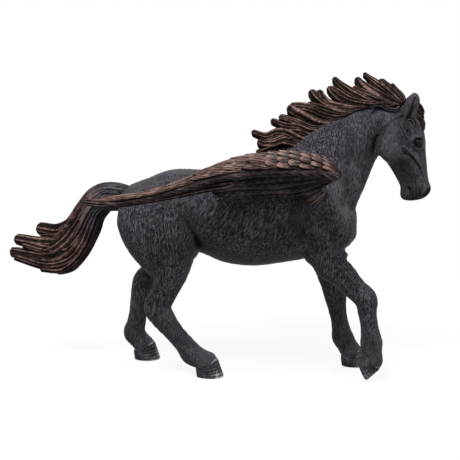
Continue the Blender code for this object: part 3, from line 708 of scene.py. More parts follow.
def body_mesh(parts):
    item = placed("flesh", new_mesh("flesh", join(parts)))
    fuse = item.modifiers.new("fuse", "REMESH")
    fuse.mode = "VOXEL"
    fuse.voxel_size = BODY_VOXEL
    soften = item.modifiers.new("soften", "SMOOTH")
    soften.factor = 0.5
    soften.iterations = BLEND_PASSES
    data = baked(item)
    finer(data, on_the_head)
    finer(data, by_face_strokes)
    move_points(data, carve(vectors(data, "co"), vectors(data, "normal"), FORMS, FORMS_LOW))
    points, normals = vectors(data, "co"), vectors(data, "normal")
    on_face = smooth_step(60, 66, points[:, 0])
    move_points(data, points + normals * (COAT_RELIEF * (1 - on_face) * hair_relief(points))[:, None])
    move_points(data, carve(vectors(data, "co"), vectors(data, "normal"), FACE_FORMS, FACE_FORMS_LOW))
    return data


# Hooves

# Lower edge and hollow sole under the wall: share of the height and how far out
FLAT_RIM = ((1.0, -0.12), (1.0, -0.5), (0.98, -0.9), (0.9, -1.3), (0.86, -2.4), (0.86, -3.6))
TIPPED_RIM = ((0.91, -0.14), (0.965, -0.46), (1.0, -1.0), (1.01, -1.6), (0.97, -2.2), (0.92, -3.6))
HOOF_SIDES = 56
GROWTH_RINGS = 34.0
RING_HEIGHT = 0.05


def hoof(coronet, flex):
    """Hoof wall with growth rings, a bevelled edge and a hollow sole. Flex degrees tip it on its toe."""
    tipped = flex != 0
    height = HOOF_HEIGHT if tipped else coronet[2]
    wall_end = 0.84 if tipped else 0.965
    profile = [(share, 0.0) for share in np.linspace(-0.12, wall_end, 24)]
    profile += TIPPED_RIM if tipped else FLAT_RIM
    angle, c, s = rounded(HOOF_SIDES, 2.2)
    notch = 1 - 0.22 * np.exp(-((angle - math.pi) / 0.22) ** 2)
    toe = smooth_step(-0.25, 0.85, np.cos(angle))
    rings, paint = [], []
    for share, inset in profile:
        grow = min(max(share, 0.0), 1.0)
        growth = math.sin(share * GROWTH_RINGS)
        ridged = RING_HEIGHT * growth if inset == 0 else 0.0
        band = -0.9 * max(0.0, 0.12 - share) / 0.24
        out = inset + ridged + band
        length = CORONET_HALF_LENGTH + (SOLE_HALF_LENGTH - CORONET_HALF_LENGTH) * grow + out
        width = CORONET_HALF_WIDTH + (SOLE_HALF_WIDTH - CORONET_HALF_WIDTH) * grow + out
        x = TOE_LEAN * share + c * length * notch
        z = CORONET_RISE * c * (1 - share) - height * share
        rings.append(np.stack((x, s * width, z), axis=1))
        low_edge = math.exp(-((share - 0.95) / 0.30) ** 2)
        top_edge = math.exp(-((share - 0.02) / 0.035) ** 2)
        edges = 0.44 * (toe * low_edge + 0.75 * top_edge)
        streaks = 0.05 * np.sin(angle * 19 + 5 * share)
        paint.append(0.36 + edges + streaks + (0.12 + 0.10 * toe) * growth)
    points, faces, paint, grey = skin(rings, np.array(paint))
    points = tilted(points, flex) + coronet
    points[:, 2] -= points[:, 2].min()
    return points, faces, paint, grey


# Hair

# Degrees round the domed tip of a lock at which it has stations
DOME_ANGLES = (30, 58, 84)


def strand(path, ys, half_depth, half_width, tip=0.6, strands=8, turn=0.0, grey=0.0, sides=44):
    """Lock of hair through pixels of the photograph, from a thin root to a domed tip.

    It lies at y from ys[0] at the root to ys[1] at the tip, and its tip is a share of its half depth.
    """
    last = len(path) - 1
    spots = []
    for i, (px, py) in enumerate(path):
        t = i / last
        spots.append(seen(px, py, ys[0] + (ys[1] - ys[0]) * t ** 0.8))
    ahead = unit(spots[-1] - spots[-2])
    end = tip * half_depth
    spots[-1] = spots[-1] - ahead * end
    stations = []
    for i, spot in enumerate(spots):
        t = i / last
        body = (0.3 + 0.7 * min(1.0, t / 0.35) ** 0.7) * (1 - (1 - tip) * t ** 2)
        stations.append((*spot, half_depth * body, half_depth * body, half_width * (0.4 + 0.6 * body)))
    for turned_by in DOME_ANGLES:
        a = math.radians(turned_by)
        spot = spots[-1] + ahead * end * math.sin(a)
        wide = half_width * (0.4 + 0.6 * tip) * math.cos(a)
        stations.append((*spot, end * math.cos(a), end * math.cos(a), wide))
    # Each lock gets painted shade on its underside
    return loft(stations, sides, per_gap=4, strands=strands, groove=0.34, twist=0.7, turn=turn,
                grey=grey, fine=0.06, under=0.22)


# Locks of the mane from the withers to the poll: pixels from root to tip, half depth, tip share
MANE_LOCKS = (
    (((318, 148), (304, 146.5), (292, 143.5), (281, 142.5), (270, 147), (256, 153)), 2.1, 0.5),
    (((326, 139), (312, 142), (299, 139.5), (288, 134), (278, 132.5), (266, 136.5), (251.3, 131.8)),
     2.7, 0.5),
    (((322, 143), (308, 144), (296, 141.5), (285, 139), (274, 143), (264, 143.5), (257, 142)), 2.6, 0.85),
    (((330, 134), (315, 136), (303, 132), (293, 130.5), (282, 132)), 2.1, 0.6),
    (((336, 127), (322, 131.5), (308, 130.5), (298, 126.5), (286, 125.5), (270.6, 120.3)), 2.3, 0.55),
    (((340, 122), (326, 127), (312, 127.5), (300, 122.5), (290, 119.3), (278.6, 116.8)), 2.0, 0.7),
    (((348, 116), (334, 121), (320, 121), (307, 116), (297, 111.5), (287, 107.5)), 3.1, 0.85),
    (((354, 111), (340, 116), (326, 114.5), (313, 109.5), (302, 107), (289.5, 106.5)), 2.6, 0.7),
    (((352, 113), (338, 112), (325, 108.5), (315, 106), (306, 106)), 2.2, 0.9),
    (((364, 107), (349, 109.5), (336, 107.5), (325, 104), (316, 97.5), (309.6, 90.2)), 2.4, 0.75),
    (((366, 107), (351, 107.5), (338, 106), (328, 103.5), (321.5, 97), (317.8, 90)), 2.0, 0.85),
    (((382, 104), (366, 104), (351, 102), (340, 97.5), (333, 92), (327.7, 86.8)), 2.5, 0.7),
    (((376, 102), (361, 100.5), (348, 97), (341, 92.5), (331, 87)), 1.9, 0.7),
    (((372, 101), (358, 95.5), (347, 90), (339.5, 84.5), (333, 77.5)), 2.3, 0.55),
    (((384, 100), (372, 96), (361, 91.5), (351.5, 88.5)), 2.3, 0.9),
    (((400, 104), (387, 100), (374, 93), (363, 86), (355.4, 77.8)), 2.7, 0.55),
    (((396, 105), (383, 102.5), (370, 97.5), (359, 94)), 2.2, 0.8),
    (((402, 103), (393, 95.5), (382.5, 87.5), (372.5, 80.5), (363.4, 73)), 2.2, 0.42),
    (((404, 103), (396, 95), (387, 87.3), (378.5, 80)), 2.0, 0.9),
    (((406, 103), (402, 97), (396.5, 90.5), (391, 83.7)), 1.4, 0.7),
    (((409, 110), (403, 107.5), (396, 104)), 2.2, 0.8),
)

# Thin curl of hair that lies on the neck
NECK_CURL = ((370, 110), (375, 105.5), (381, 105), (388, 108.5), (395, 110), (400, 107))

# Core under the locks along the neck's crest: x and rise above the hip, then its half heights
CREST = (
    (70.5, 39.5), (66.0, 41.0), (60.0, 42.3), (53.0, 42.6), (46.0, 41.2),
    (39.0, 38.8), (32.5, 35.6), (26.5, 31.5), (20.5, 26.0), (14.0, 20.5),
)
CREST_HEIGHTS = (1.4, 2.6, 3.2, 3.4, 3.4, 3.4, 3.2, 3.0, 2.4, 1.0)
CREST_SINK = 1.5


def mane():
    """Core along the crest, locks on both sides and between them, and a curl on the neck."""
    core = []
    for (x, rise), tall in zip(CREST, CREST_HEIGHTS):
        core.append((x, 0, rise + HIP_Z - CREST_SINK, tall, 2.6, 2.6))
    parts = [loft(core, lateral=(0, -1, 0), strands=9, groove=0.2)]
    for k, (path, depth, tip) in enumerate(MANE_LOCKS):
        near = strand(path, (-4.2, -1.2), depth, 2.0, tip, turn=0.7 * k)
        parts += [near, mirrored(near, 1.0)]
        parts.append(strand(path, (0.0, 0.2), 0.92 * depth, 1.8, tip, turn=0.4 * k, sides=28))
    curl = strand(NECK_CURL, (-6.4, -4.6), 1.0, 0.9, 0.8, strands=5, grey=0.9)
    parts += [curl, mirrored(curl)]
    return join(parts)


# Locks on the forehead: pixels from root to tip, y at the root and the tip, half depth, greyness
FORELOCK = (
    (((409, 108), (413, 104.5), (418, 106), (421.6, 111), (422.3, 117)), (-1.6, -0.8), 1.7, 0.0),
    (((411, 112), (414.5, 109.5), (418.5, 111.5), (421.5, 116.5)), (-5.0, -3.8), 1.5, 0.0),
    (((412, 119), (415, 115.5), (419, 116.0), (422, 119)), (-5.0, -3.6), 1.3, 0.1),
    (((411, 116), (415, 119), (418.8, 123), (422.6, 131)), (-4.9, -2.8), 1.5, 0.4),
    (((409, 111), (413, 108), (418, 110.5), (421.2, 117), (421.8, 124)), (0.4, 0.8), 1.7, 0.0),
    (((406, 121), (410.5, 119), (414, 121.5), (415, 127.5)), (-5.3, -5.5), 1.1, 1.0),
    (((404, 122), (406.5, 126), (407.5, 132)), (-5.9, -6.3), 0.9, 1.0),
    (((417.5, 116.5), (421.2, 119), (423.6, 123.5), (423.7, 130.5)), (-2.6, -1.8), 1.0, 0.85),
)

# Locks rooted beyond this y are on both sides
FORELOCK_MIDDLE = -1.0


def forelock():
    parts = []
    for k, (path, ys, depth, grey) in enumerate(FORELOCK):
        lock = strand(path, ys, depth, 1.2, 0.55, strands=5, turn=0.5 * k, grey=grey, sides=32)
        parts.append(lock)
        if ys[0] < FORELOCK_MIDDLE:
            parts.append(mirrored(lock, 0.5))
    return join(parts)


# Dry-brushed hair below the wing's root
TUFT = (
    ((323, 187), (316, 192), (307, 196.5), (298, 199)),
    ((324, 190), (318, 195.5), (311, 200), (303, 203)),
    ((325, 191), (320, 197), (315, 201.5), (308, 205.5)),
    ((326, 192), (323, 197.5), (319, 202), (314, 206)),
    ((321, 186), (312, 190.5), (303, 194), (294, 196)),
)
TUFT_PAINT = 0.18


def tuft():
    parts = []
    for k, path in enumerate(TUFT):
        lock = strand(path, (-13.5, -15.2), 1.2, 1.2, 0.4, strands=5, turn=0.9 * k, grey=0.6, sides=28)
        parts += [lock, mirrored(lock)]
    return repainted(join(parts), TUFT_PAINT)


# Locks of the tail: pixels from the dock to the tip, y at the dock and the tip, half depth, tip share
TAIL_LOCKS = (
    (((132, 187.5), (115, 188), (102, 191), (91, 199), (79.5, 213), (69, 223.5), (59, 229.5)),
     (-3.0, -2.0), 2.2, 0.6),
    (((124, 191), (108, 191), (97, 198), (85, 211.5), (73, 223.5), (58, 230.5), (36, 228.5)),
     (-3.8, -1.4), 3.1, 0.95),
    (((120, 194), (105, 194), (94, 204), (83, 217), (71, 229), (57, 236.5), (40, 237)),
     (-4.6, -1.8), 2.5, 0.7),
    (((116, 196), (102, 198), (91, 210), (81, 226.5), (66, 240.5), (44, 243), (14, 238.8)),
     (-5.4, -1.6), 3.0, 0.85),
    (((114, 198), (99, 203), (89, 216), (81, 233), (67, 248), (48, 250), (22, 243.5)),
     (-6.0, -2.8), 2.6, 0.7),
    (((112, 200), (98, 207), (89.5, 220), (82.5, 238), (69, 254), (46, 256.5), (9.8, 251.5)),
     (-6.0, -1.8), 2.8, 0.85),
    (((110, 202), (97, 211), (90.5, 225), (84, 242), (70.5, 259), (47, 265.3), (14, 256)),
     (-5.8, -2.2), 2.9, 0.65),
    (((108, 204), (96.5, 214), (91.5, 227), (85.5, 243), (75.5, 258), (61, 269), (40, 268.6)),
     (-5.0, -2.4), 2.5, 0.7),
    (((110, 204.5), (98, 216), (92.5, 229), (87, 243), (79.5, 256), (69.5, 267.3), (56, 272)),
     (-3.8, -2.0), 2.3, 0.7),
    (((111, 206), (100, 216), (95, 228), (90, 239), (83.5, 250), (76.5, 260.5), (70.5, 267.5)),
     (-2.4, -1.0), 2.1, 0.8),
)

# Locks that are also laid along the middle
TAIL_MIDDLE_LOCKS = (1, 3, 4, 5, 6, 7)
TAIL_PAINT = 0.07


def dock_grey(along):
    """Grey at the dock, turning brown along the first part of the tail."""
    return 1 - smooth_step(0.10, 0.42, along)


def tail():
    z = HIP_Z
    core = [
        (-41.0, 0, z + 3.0, 5.4, 5.4, 4.4),
        (-47.5, 0, z + 4.2, 5.8, 6.2, 4.4),
        (-53.5, 0, z + 3.0, 5.8, 6.6, 4.6),
        (-58.0, 0, z - 2.0, 5.8, 6.6, 5.0),
        (-61.8, 0, z - 8.7, 6.8, 7.4, 5.6),
        (-67.0, 0, z - 15.8, 8.0, 8.8, 5.8),
        (-73.5, 0, z - 19.8, 7.6, 8.0, 5.2),
        (-80.5, 0, z - 20.2, 5.0, 4.8, 3.4),
        (-84.0, 0, z - 19.6, 2.8, 2.8, 2.0),
    ]
    parts = [loft(core, sides=72, strands=22, groove=0.12, grey=dock_grey)]
    for k, (path, ys, depth, tip) in enumerate(TAIL_LOCKS):
        lock = strand(path, ys, depth, 2.0, tip, strands=7, turn=0.8 * k, grey=dock_grey)
        parts += [lock, mirrored(lock, 0.8)]
        if k in TAIL_MIDDLE_LOCKS:
            parts.append(strand(path, (0.3, 0.0), 0.9 * depth, 2.6, tip, strands=7, turn=0.5 * k,
                                grey=dock_grey))
    return repainted(join(parts), TAIL_PAINT)


# Wings

# Sections from the wrist to the tip: x, then the outer edge, the crest and the root, each as a share of the
# half span and a rise above the hip, then fullness
WING_SECTIONS = (
    (45.2, 0.768, 16.8, 0.679, 17.8, 0.601, 17.2, 0.35),
    (43.0, 0.846, 17.8, 0.657, 19.2, 0.535, 15.2, 0.8),
    (38.5, 0.913, 18.7, 0.624, 21.8, 0.396, 11.9, 1.0),
    (31.0, 0.962, 19.3, 0.601, 23.6, 0.285, 7.6, 1.0),
    (22.0, 0.993, 19.4, 0.590, 23.7, 0.267, 6.0, 1.0),
    (12.0, 1.000, 18.8, 0.590, 22.6, 0.267, 5.8, 1.0),
    (4.0, 1.000, 17.6, 0.601, 20.9, 0.278, 6.0, 1.0),
    (-1.0, 0.996, 16.5, 0.612, 19.2, 0.323, 6.3, 1.0),
    (-4.0, 0.991, 15.6, 0.619, 17.8, 0.379, 7.4, 0.95),
    (-6.0, 0.989, 15.1, 0.626, 17.1, 0.523, 11.4, 0.95),
    (-9.0, 0.982, 14.2, 0.639, 15.8, 0.586, 12.3, 0.95),
    (-15.0, 0.969, 12.3, 0.679, 13.4, 0.646, 10.6, 0.9),
    (-23.0, 0.942, 9.7, 0.708, 10.5, 0.673, 8.4, 0.85),
    (-32.0, 0.909, 7.7, 0.735, 8.2, 0.704, 6.6, 0.8),
    (-41.0, 0.873, 6.3, 0.762, 7.2, 0.731, 5.8, 0.75),
    (-48.0, 0.846, 6.0, 0.780, 7.0, 0.757, 5.6, 0.6),
    (-53.6, 0.815, 6.8, 0.800, 7.2, 0.788, 6.7, 0.25),
)

# Long dark feathers hung below the edge: pixels of their middle, half height, distance from the middle plane
HANGING_VANE = (
    (236, 182.8, 0.5, 40.6), (226, 184.5, 2.0, 41.0), (203, 188.0, 2.0, 41.0),
    (172, 195.2, 1.65, 40.3), (140, 201.0, 1.4, 39.6), (120, 203.2, 1.65, 39.0),
    (100, 203.6, 1.6, 38.4), (88, 202.4, 1.3, 37.8), (81, 200.8, 0.6, 37.4),
)

# The plain wing between the feathers
SHEET_PAINT = 0.30
SHEET_GREY = 0.35

# Where the edge's bead and the rows of feathers begin along x, and how far apart they are
BEAD_START = 43.5
BEAD_STEP = 3.85
BEAD_STATIONS = 25
SCALES_START = 44.6
SCALES_STEP = 4.2
COVERTS_START = 21.5
COVERTS_STEP = 6.6
LONG_COVERTS_START = 8.5
PRIMARIES_START = -6.0
UNDER_START = 44.0
UNDER_PRIMARIES_START = 2.0

# Feathers of one kind: how they lie, their barbs, their paint and how fine their mesh is
SCALE = dict(crown=0.10, tip=0.30, shaft=0.0, barb=0.10, barbs=1.4, fan=1.3, line=0.12, edge=0.5,
             shade=(0.25, 0.95), rows=18, columns=15)
COVERT = dict(rise=(0.0, 0.85), crown=0.2, tip=0.3, barb=0.16, barbs=2.5, fan=1.9, line=0.32,
              shade=(0.36, 0.70), rows=36, columns=25)
LONG_COVERT = dict(rise=(0.0, 0.8), crown=0.2, tip=0.3, barb=0.16, barbs=3, fan=1.9, line=0.32,
                   shade=(0.41, 0.66), rows=48, columns=25)
PRIMARY = dict(rise=(0.0, 0.8), crown=0.35, tip=0.12, barb=0.14, barbs=7, fan=1.7, line=0.3,
               shade=(0.52, 0.68), rows=96, columns=23)
UNDER_FEATHER = dict(out=-1, wave=0.007, rise=(0.0, 0.85), crown=1.2, tip=0.06, barb=0.06, barbs=15,
                     fan=0.8, line=0.14, edge=0.7, shaft=0.2, shade=(0.56, 0.70), grey=0.7, rows=76,
                     columns=11)
UNDER_PRIMARY = dict(out=-1, rise=(0.0, 0.7), crown=0.5, tip=0.1, barb=0.10, barbs=8, fan=1.7, line=0.25,
                     shade=(0.5, 0.6), grey=0.5, rows=80, columns=17)


def wing_curve(row):
    """Line across the wing at one section, from the outer edge over the crest to the root."""
    edge, crest, root = (row[i:i + 2] * (WING_HALF_SPAN, 1) for i in (1, 3, 5))
    arch = (edge + crest) / 2 + np.array((1.2, 1.6)) * min(1.0, np.linalg.norm(crest - edge) / 18)
    inner = (crest + root) / 2 + np.array((0.8, 0.8)) * min(1.0, np.linalg.norm(crest - root) / 20)
    return through([edge, arch, crest, inner, root], 8)


WING_ROWS = through(WING_SECTIONS, 5)
WING_LINES = np.array([wing_curve(row) for row in WING_ROWS])
WING_RUNS = unit(np.gradient(WING_LINES, axis=1))


def wing_points(x, across, lift, side):
    """Points on the wing at x, across from 0 at the edge to 1 at the root, lifted off its outer face."""
    order = WING_ROWS[::-1, 0]
    at = np.interp(x, order, np.arange(len(order))[::-1].astype(float))
    i = np.clip(at.astype(int), 0, len(order) - 2)
    s = (at - i)[..., None]
    steps = WING_LINES.shape[1] - 1
    over = np.clip(across, 0, 0.9999) * steps
    j = over.astype(int)
    t = (over - j)[..., None]

    def blend(grid):
        low = grid[i, j] * (1 - t) + grid[i, j + 1] * t
        high = grid[i + 1, j] * (1 - t) + grid[i + 1, j + 1] * t
        return low * (1 - s) + high * s

    place, run = blend(WING_LINES), unit(blend(WING_RUNS))
    y = place[..., 0] + run[..., 1] * lift
    z = place[..., 1] - run[..., 0] * lift
    return np.stack((x + 0 * y, side * y, z + HIP_Z), axis=-1)


def wing_half(x):
    """Half the thickness of the wing at x."""
    return WING_THICKNESS / 2 * np.interp(x, WING_ROWS[::-1, 0], WING_ROWS[::-1, 7])


def wing_sheet(side):
    """The plain wing, with rounded edges."""
    across = np.linspace(0, 1, 60)
    rings = []
    for x in WING_ROWS[:, 0]:
        rim = wing_half(x) * np.sqrt(np.clip(1 - (2 * np.abs(across - 0.5)) ** 12, 0, 1))
        place = np.full(60, x)
        top = wing_points(place, across, rim, side)
        bottom = wing_points(place, across[::-1], -rim[::-1], side)
        rings.append(np.vstack((top, bottom)))
    count = np.shape(rings)[:2]
    return skin(rings, np.full(count, SHEET_PAINT), np.full(count, SHEET_GREY))


def feather(side, x, across, length, width, drift, rise, crown, tip, barb, barbs, fan, line, shade, rows,
            columns, out=1, wave=0.0, edge=0.2, shaft=0.16, grey=0.0):
    """Feather laid on the wing from x backward, on its outer face (out 1) or underside (out -1).

    Barbs run out from its middle: so many along it, and fan more across it, barb high and painted by line.
    """
    s = np.sin(np.linspace(0, math.pi / 2, rows))[:, None]
    t = np.linspace(-1, 1, columns)[None]
    spread = np.where(s < 1 - tip, 1.0, np.sqrt(np.clip(1 - ((s - 1 + tip) / tip) ** 2, 0.0004, 1)))
    spread = spread * (0.75 + 0.25 * smooth_step(0, 0.4, s))
    place = x - length * s
    over = across + drift * s + wave * np.sin(12 * s + 40 * across) + width / 2 * spread * t
    height = rise[0] + (rise[1] - rise[0]) * s - crown * t ** 2
    middle = np.exp(-(t / 0.09) ** 2)
    slant = np.sin(2 * math.pi * (barbs * s + fan * np.abs(t) + 0.12 * np.sin(11 * s + 40 * across)))
    height = height + shaft * middle + barb * slant * (1 - middle)
    height = height - 0.35 * crown * smooth_step(0.92, 1.0, s)
    half = wing_half(place)
    top = wing_points(place + 0 * over, over, out * (half + height), side)
    rim = np.concatenate((over[:, -1:], over[:, -1:], over[:, :1], over[:, :1]), axis=1)
    depth = np.array((0.25, -0.7, -0.7, 0.25))[None]
    sunk = half + np.where(depth > 0, height[:, [-1, -1, 0, 0]] - 0.3, depth)
    bottom = wing_points(place + 0 * rim, rim, out * sunk, side)
    paint = shade[0] + (shade[1] - shade[0]) * s + 1.6 * shaft * middle + line * slant
    paint = np.clip(paint - edge * np.abs(t) ** 5, 0, 1)
    rings = np.concatenate((top, bottom), axis=1)
    dark = np.zeros((rows, 4))
    tone = np.concatenate((paint, dark), axis=1)
    return skin(rings, tone, np.full(tone.shape, grey))


def edge_bead(side):
    """Twisted bead along the outer edge, thickest at the wrist."""
    rows = []
    for k in range(BEAD_STATIONS):
        x = BEAD_START - BEAD_STEP * k
        girth = WING_BEAD - 0.012 * k + 0.7 * max(0.0, 1 - k / 4)
        centre = wing_points(np.array([x]), np.array([0.0]), np.array([-0.4]), side)[0]
        rows.append((*centre, girth, girth, girth))
    return loft(rows, sides=28, per_gap=4, strands=7, groove=0.18, twist=21.0, grey=0.4, fine=0.06)


def hanging_vane(side):
    rows = []
    for px, py, half, y in HANGING_VANE:
        x, _, z = seen(px, py, -y)
        rows.append((x, side * y, z, half, half, 0.55 * WING_BEAD + 0.15 * half))
    return loft(rows, per_gap=8, lateral=(0, -1, 0), strands=7, groove=0.22, turn=0.4, grey=0.25, fine=0.05)


def scales(side):
    """Six uneven rows of small round feathers from the wrist back."""
    parts = []
    for row in range(6):
        for k in range(8):
            uneven = math.sin(5.1 * row + 2.3 * k)
            x = SCALES_START - SCALES_STEP * row + 0.7 * uneven
            across = 0.076 + 0.114 * k + (0.055 if row % 2 else 0.0) + 0.008 * math.cos(3.7 * k + row)
            length, width = 6.3 + 0.6 * uneven, 0.112 + 0.012 * uneven
            rise = (-0.15, 0.85 + 0.10 * uneven)
            parts.append(feather(side, x, across, length, width, 0.0, rise, **SCALE))
    return parts


def coverts(side):
    """Two rows of short coverts and one of long ones."""
    parts = []
    for row in range(2):
        for k in range(7):
            x = COVERTS_START - COVERTS_STEP * row + math.sin(4.3 * row + 1.9 * k)
            across = 0.078 + 0.122 * k + 0.05 * row
            parts.append(feather(side, x, across, 12.5, 0.13, 0.01, **COVERT))
    for k in range(7):
        length = 19.0 - 0.7 * k
        parts.append(feather(side, LONG_COVERTS_START, 0.07 + 0.11 * k, length, 0.13, 0.03, **LONG_COVERT))
    return parts


def primaries(side):
    """Long feathers to the tip, the outermost with the strongest shaft."""
    parts = []
    for k in range(5):
        across, length = 0.10 + 0.17 * k, 45.0 - 5.5 * k
        shaft = 0.34 if k == 0 else 0.16
        parts.append(feather(side, PRIMARIES_START, across, length, 0.2, 0.02, shaft=shaft, **PRIMARY))
    return parts


def underside(side):
    """Narrow wavy feathers under the arch and long ones under the tip."""
    parts = []
    for k in range(16):
        x = UNDER_START - 2.2 * (k % 2) - 0.9 * (k % 3)
        length = x + 2.5 + 1.5 * (k % 2)
        parts.append(feather(side, x, 0.05 + 0.06 * k, length, 0.070, 0.004, **UNDER_FEATHER))
    for k in range(4):
        length = 50.0 - 7.0 * k
        parts.append(feather(side, UNDER_PRIMARIES_START, 0.10 + 0.2 * k, length, 0.2, 0.01, **UNDER_PRIMARY))
    return parts


def rolled(points):
    """The far wing's points, turned up and let down about its hinge."""
    hinge = np.array((0, WING_HINGE_SPREAD, HIP_Z + WING_HINGE_RISE))
    a = math.radians(-WING_FAR_ROLL)
    turn = np.array(((1, 0, 0), (0, math.cos(a), -math.sin(a)), (0, math.sin(a), math.cos(a))))
    return (points - hinge) @ turn.T + hinge - (0, 0, WING_FAR_DROP)


def wing(side):
    parts = [wing_sheet(side), edge_bead(side), hanging_vane(side)]
    parts += scales(side) + coverts(side) + primaries(side) + underside(side)
    points, faces, paint, grey = join(parts)
    if side == FAR:
        points = rolled(points)
    return points, faces, paint, grey


# Materials


def new_material(name):
    made = bpy.data.materials.new(name)
    made.use_nodes = True
    tree = made.node_tree
    return made, tree, tree.nodes["Principled BSDF"]


def attribute(tree, name):
    node = tree.nodes.new("ShaderNodeAttribute")
    node.attribute_name = name
    return node.outputs["Fac"]


def stretched_noise(tree, size, tilt=0.0, detail=3.0, roughness=0.6):
    """Noise whose grains have a size in metres, tilted about Y by degrees."""
    where = tree.nodes.new("ShaderNodeTexCoord")
    mapping = tree.nodes.new("ShaderNodeMapping")
    mapping.vector_type = "TEXTURE"
    mapping.inputs["Scale"].default_value = size
    mapping.inputs["Rotation"].default_value = (0, math.radians(tilt), 0)
    noise = tree.nodes.new("ShaderNodeTexNoise")
    noise.inputs["Scale"].default_value = 1.0
    noise.inputs["Detail"].default_value = detail
    noise.inputs["Roughness"].default_value = roughness
    tree.links.new(where.outputs["Object"], mapping.inputs["Vector"])
    tree.links.new(mapping.outputs["Vector"], noise.inputs["Vector"])
    return noise.outputs["Fac"]


def feed(tree, socket, value):
    """Gives a socket a number, a colour or a link."""
    if isinstance(value, tuple):
        socket.default_value = (*value, 1.0)
    elif isinstance(value, (int, float)):
        socket.default_value = value
    else:
        tree.links.new(value, socket)


def math_node(tree, kind, a, b=0.0, clamp=False):
    node = tree.nodes.new("ShaderNodeMath")
    node.operation = kind
    node.use_clamp = clamp
    feed(tree, node.inputs[0], a)
    feed(tree, node.inputs[1], b)
    return node.outputs[0]


def plus(tree, a, b):
    return math_node(tree, "ADD", a, b)


def times(tree, a, b, clamp=False):
    return math_node(tree, "MULTIPLY", a, b, clamp)


def blend_numbers(tree, share, a, b):
    node = tree.nodes.new("ShaderNodeMix")
    for place, value in ((0, share), (2, a), (3, b)):
        feed(tree, node.inputs[place], value)
    return node.outputs[0]


def blend_colours(tree, share, a, b):
    node = tree.nodes.new("ShaderNodeMix")
    node.data_type = "RGBA"
    for place, value in ((0, share), (6, a), (7, b)):
        feed(tree, node.inputs[place], value)
    return node.outputs[2]


def blend_shaders(tree, share, a, b, surface):
    node = tree.nodes.new("ShaderNodeMixShader")
    for socket, value in zip(node.inputs, (share, a.outputs[0], b.outputs[0])):
        tree.links.new(value, socket)
    tree.links.new(node.outputs[0], surface)


def ramp(tree, value, stops):
    node = tree.nodes.new("ShaderNodeValToRGB")
    points = node.color_ramp.elements
    while len(points) < len(stops):
        points.new(0.5)
    for element, (place, colour) in zip(points, stops):
        element.position = place
        element.color = (*colour, 1.0)
    tree.links.new(value, node.inputs["Fac"])
    return node.outputs["Color"]


def dress(tree, shader, colour, roughness, gloss):
    tree.links.new(colour, shader.inputs["Base Color"])
    shader.inputs["Roughness"].default_value = roughness
    shader.inputs["Specular IOR Level"].default_value = gloss


def bump(tree, shader, height, distance, strength):
    node = tree.nodes.new("ShaderNodeBump")
    node.inputs["Distance"].default_value = distance
    node.inputs["Strength"].default_value = strength
    tree.links.new(height, node.inputs["Height"])
    tree.links.new(node.outputs["Normal"], shader.inputs["Normal"])


def hair_strokes(tree, size, tilt):
    """Short carved strokes: fine ridges with here and there a deeper cut."""
    fine = stretched_noise(tree, size, tilt, 2.0, 0.55)
    cuts = stretched_noise(tree, tuple(1.7 * side for side in size), tilt, 1.0, 0.5)
    off_middle = math_node(tree, "ABSOLUTE", math_node(tree, "SUBTRACT", cuts, 0.5))
    valley = times(tree, off_middle, 11.0, True)
    return plus(tree, times(tree, valley, 0.30), times(tree, fine, 0.80))


def worn_paint(tree, fine, patches, amount):
    """Paint level of the shape, made uneven by two noises."""
    worn = math_node(tree, "SUBTRACT", plus(tree, fine, patches), 1.0)
    return plus(tree, attribute(tree, "paint"), times(tree, worn, amount))


# Level of the strokes where they are smoothed away
CALM_LEVEL = 0.63


def coat_material():
    """Charcoal paint over fine carved hair, lighter where strokes stand out and calmer on the face, with
    painted highlights and painted shade blended in.
    """
    made, tree, shader = new_material("coat")
    upright = hair_strokes(tree, (0.00028, 0.00028, 0.0020), 6.0)
    slanted = hair_strokes(tree, (0.00030, 0.00030, 0.0028), 32.0)
    hair = blend_numbers(tree, attribute(tree, "flow"), upright, slanted)
    hair = blend_numbers(tree, attribute(tree, "calm"), hair, CALM_LEVEL)
    mottle = stretched_noise(tree, (0.006, 0.006, 0.008), 0.0, 2.0)
    level = plus(tree, hair, times(tree, mottle, 0.24))
    colour = ramp(tree, level, (
        (0.55, (0.0098, 0.0090, 0.0121)),
        (0.73, (0.0340, 0.0314, 0.0388)),
        (0.91, (0.136, 0.128, 0.147)),
    ))
    # Painted highlights, and pale dry-brushed paint above the hooves
    colour = blend_colours(tree, attribute(tree, "pale"), colour, (0.20, 0.20, 0.215))
    # Painted shade in the creases, hollows and gaps
    colour = blend_colours(tree, attribute(tree, "dark"), colour, (0.0035, 0.0033, 0.0045))
    dress(tree, shader, colour, 0.5, 0.05)
    bump(tree, shader, hair, 0.0004, 1.0)
    return made


def plume_material(name, size, tilt):
    """Dark brown paint, black in the grooves and dry-brushed with rust on the ridges, grey by the coat."""
    made, tree, shader = new_material(name)
    fine = stretched_noise(tree, size, tilt)
    patches = stretched_noise(tree, (0.007, 0.007, 0.007), 0.0, 2.0)
    level = worn_paint(tree, fine, patches, 1.0)
    brown = ramp(tree, level, (
        (0.14, (0.0024, 0.0015, 0.0014)),
        (0.42, (0.0235, 0.0128, 0.0113)),
        (0.66, (0.065, 0.0378, 0.0330)),
        (0.94, (0.235, 0.148, 0.130)),
    ))
    charcoal = ramp(tree, level, (
        (0.10, (0.003, 0.003, 0.003)),
        (0.50, (0.026, 0.025, 0.029)),
        (0.95, (0.095, 0.092, 0.104)),
    ))
    colour = blend_colours(tree, attribute(tree, "grey"), brown, charcoal)
    dress(tree, shader, colour, 0.55, 0.05)
    bump(tree, shader, fine, 0.0004, 0.7)
    return made


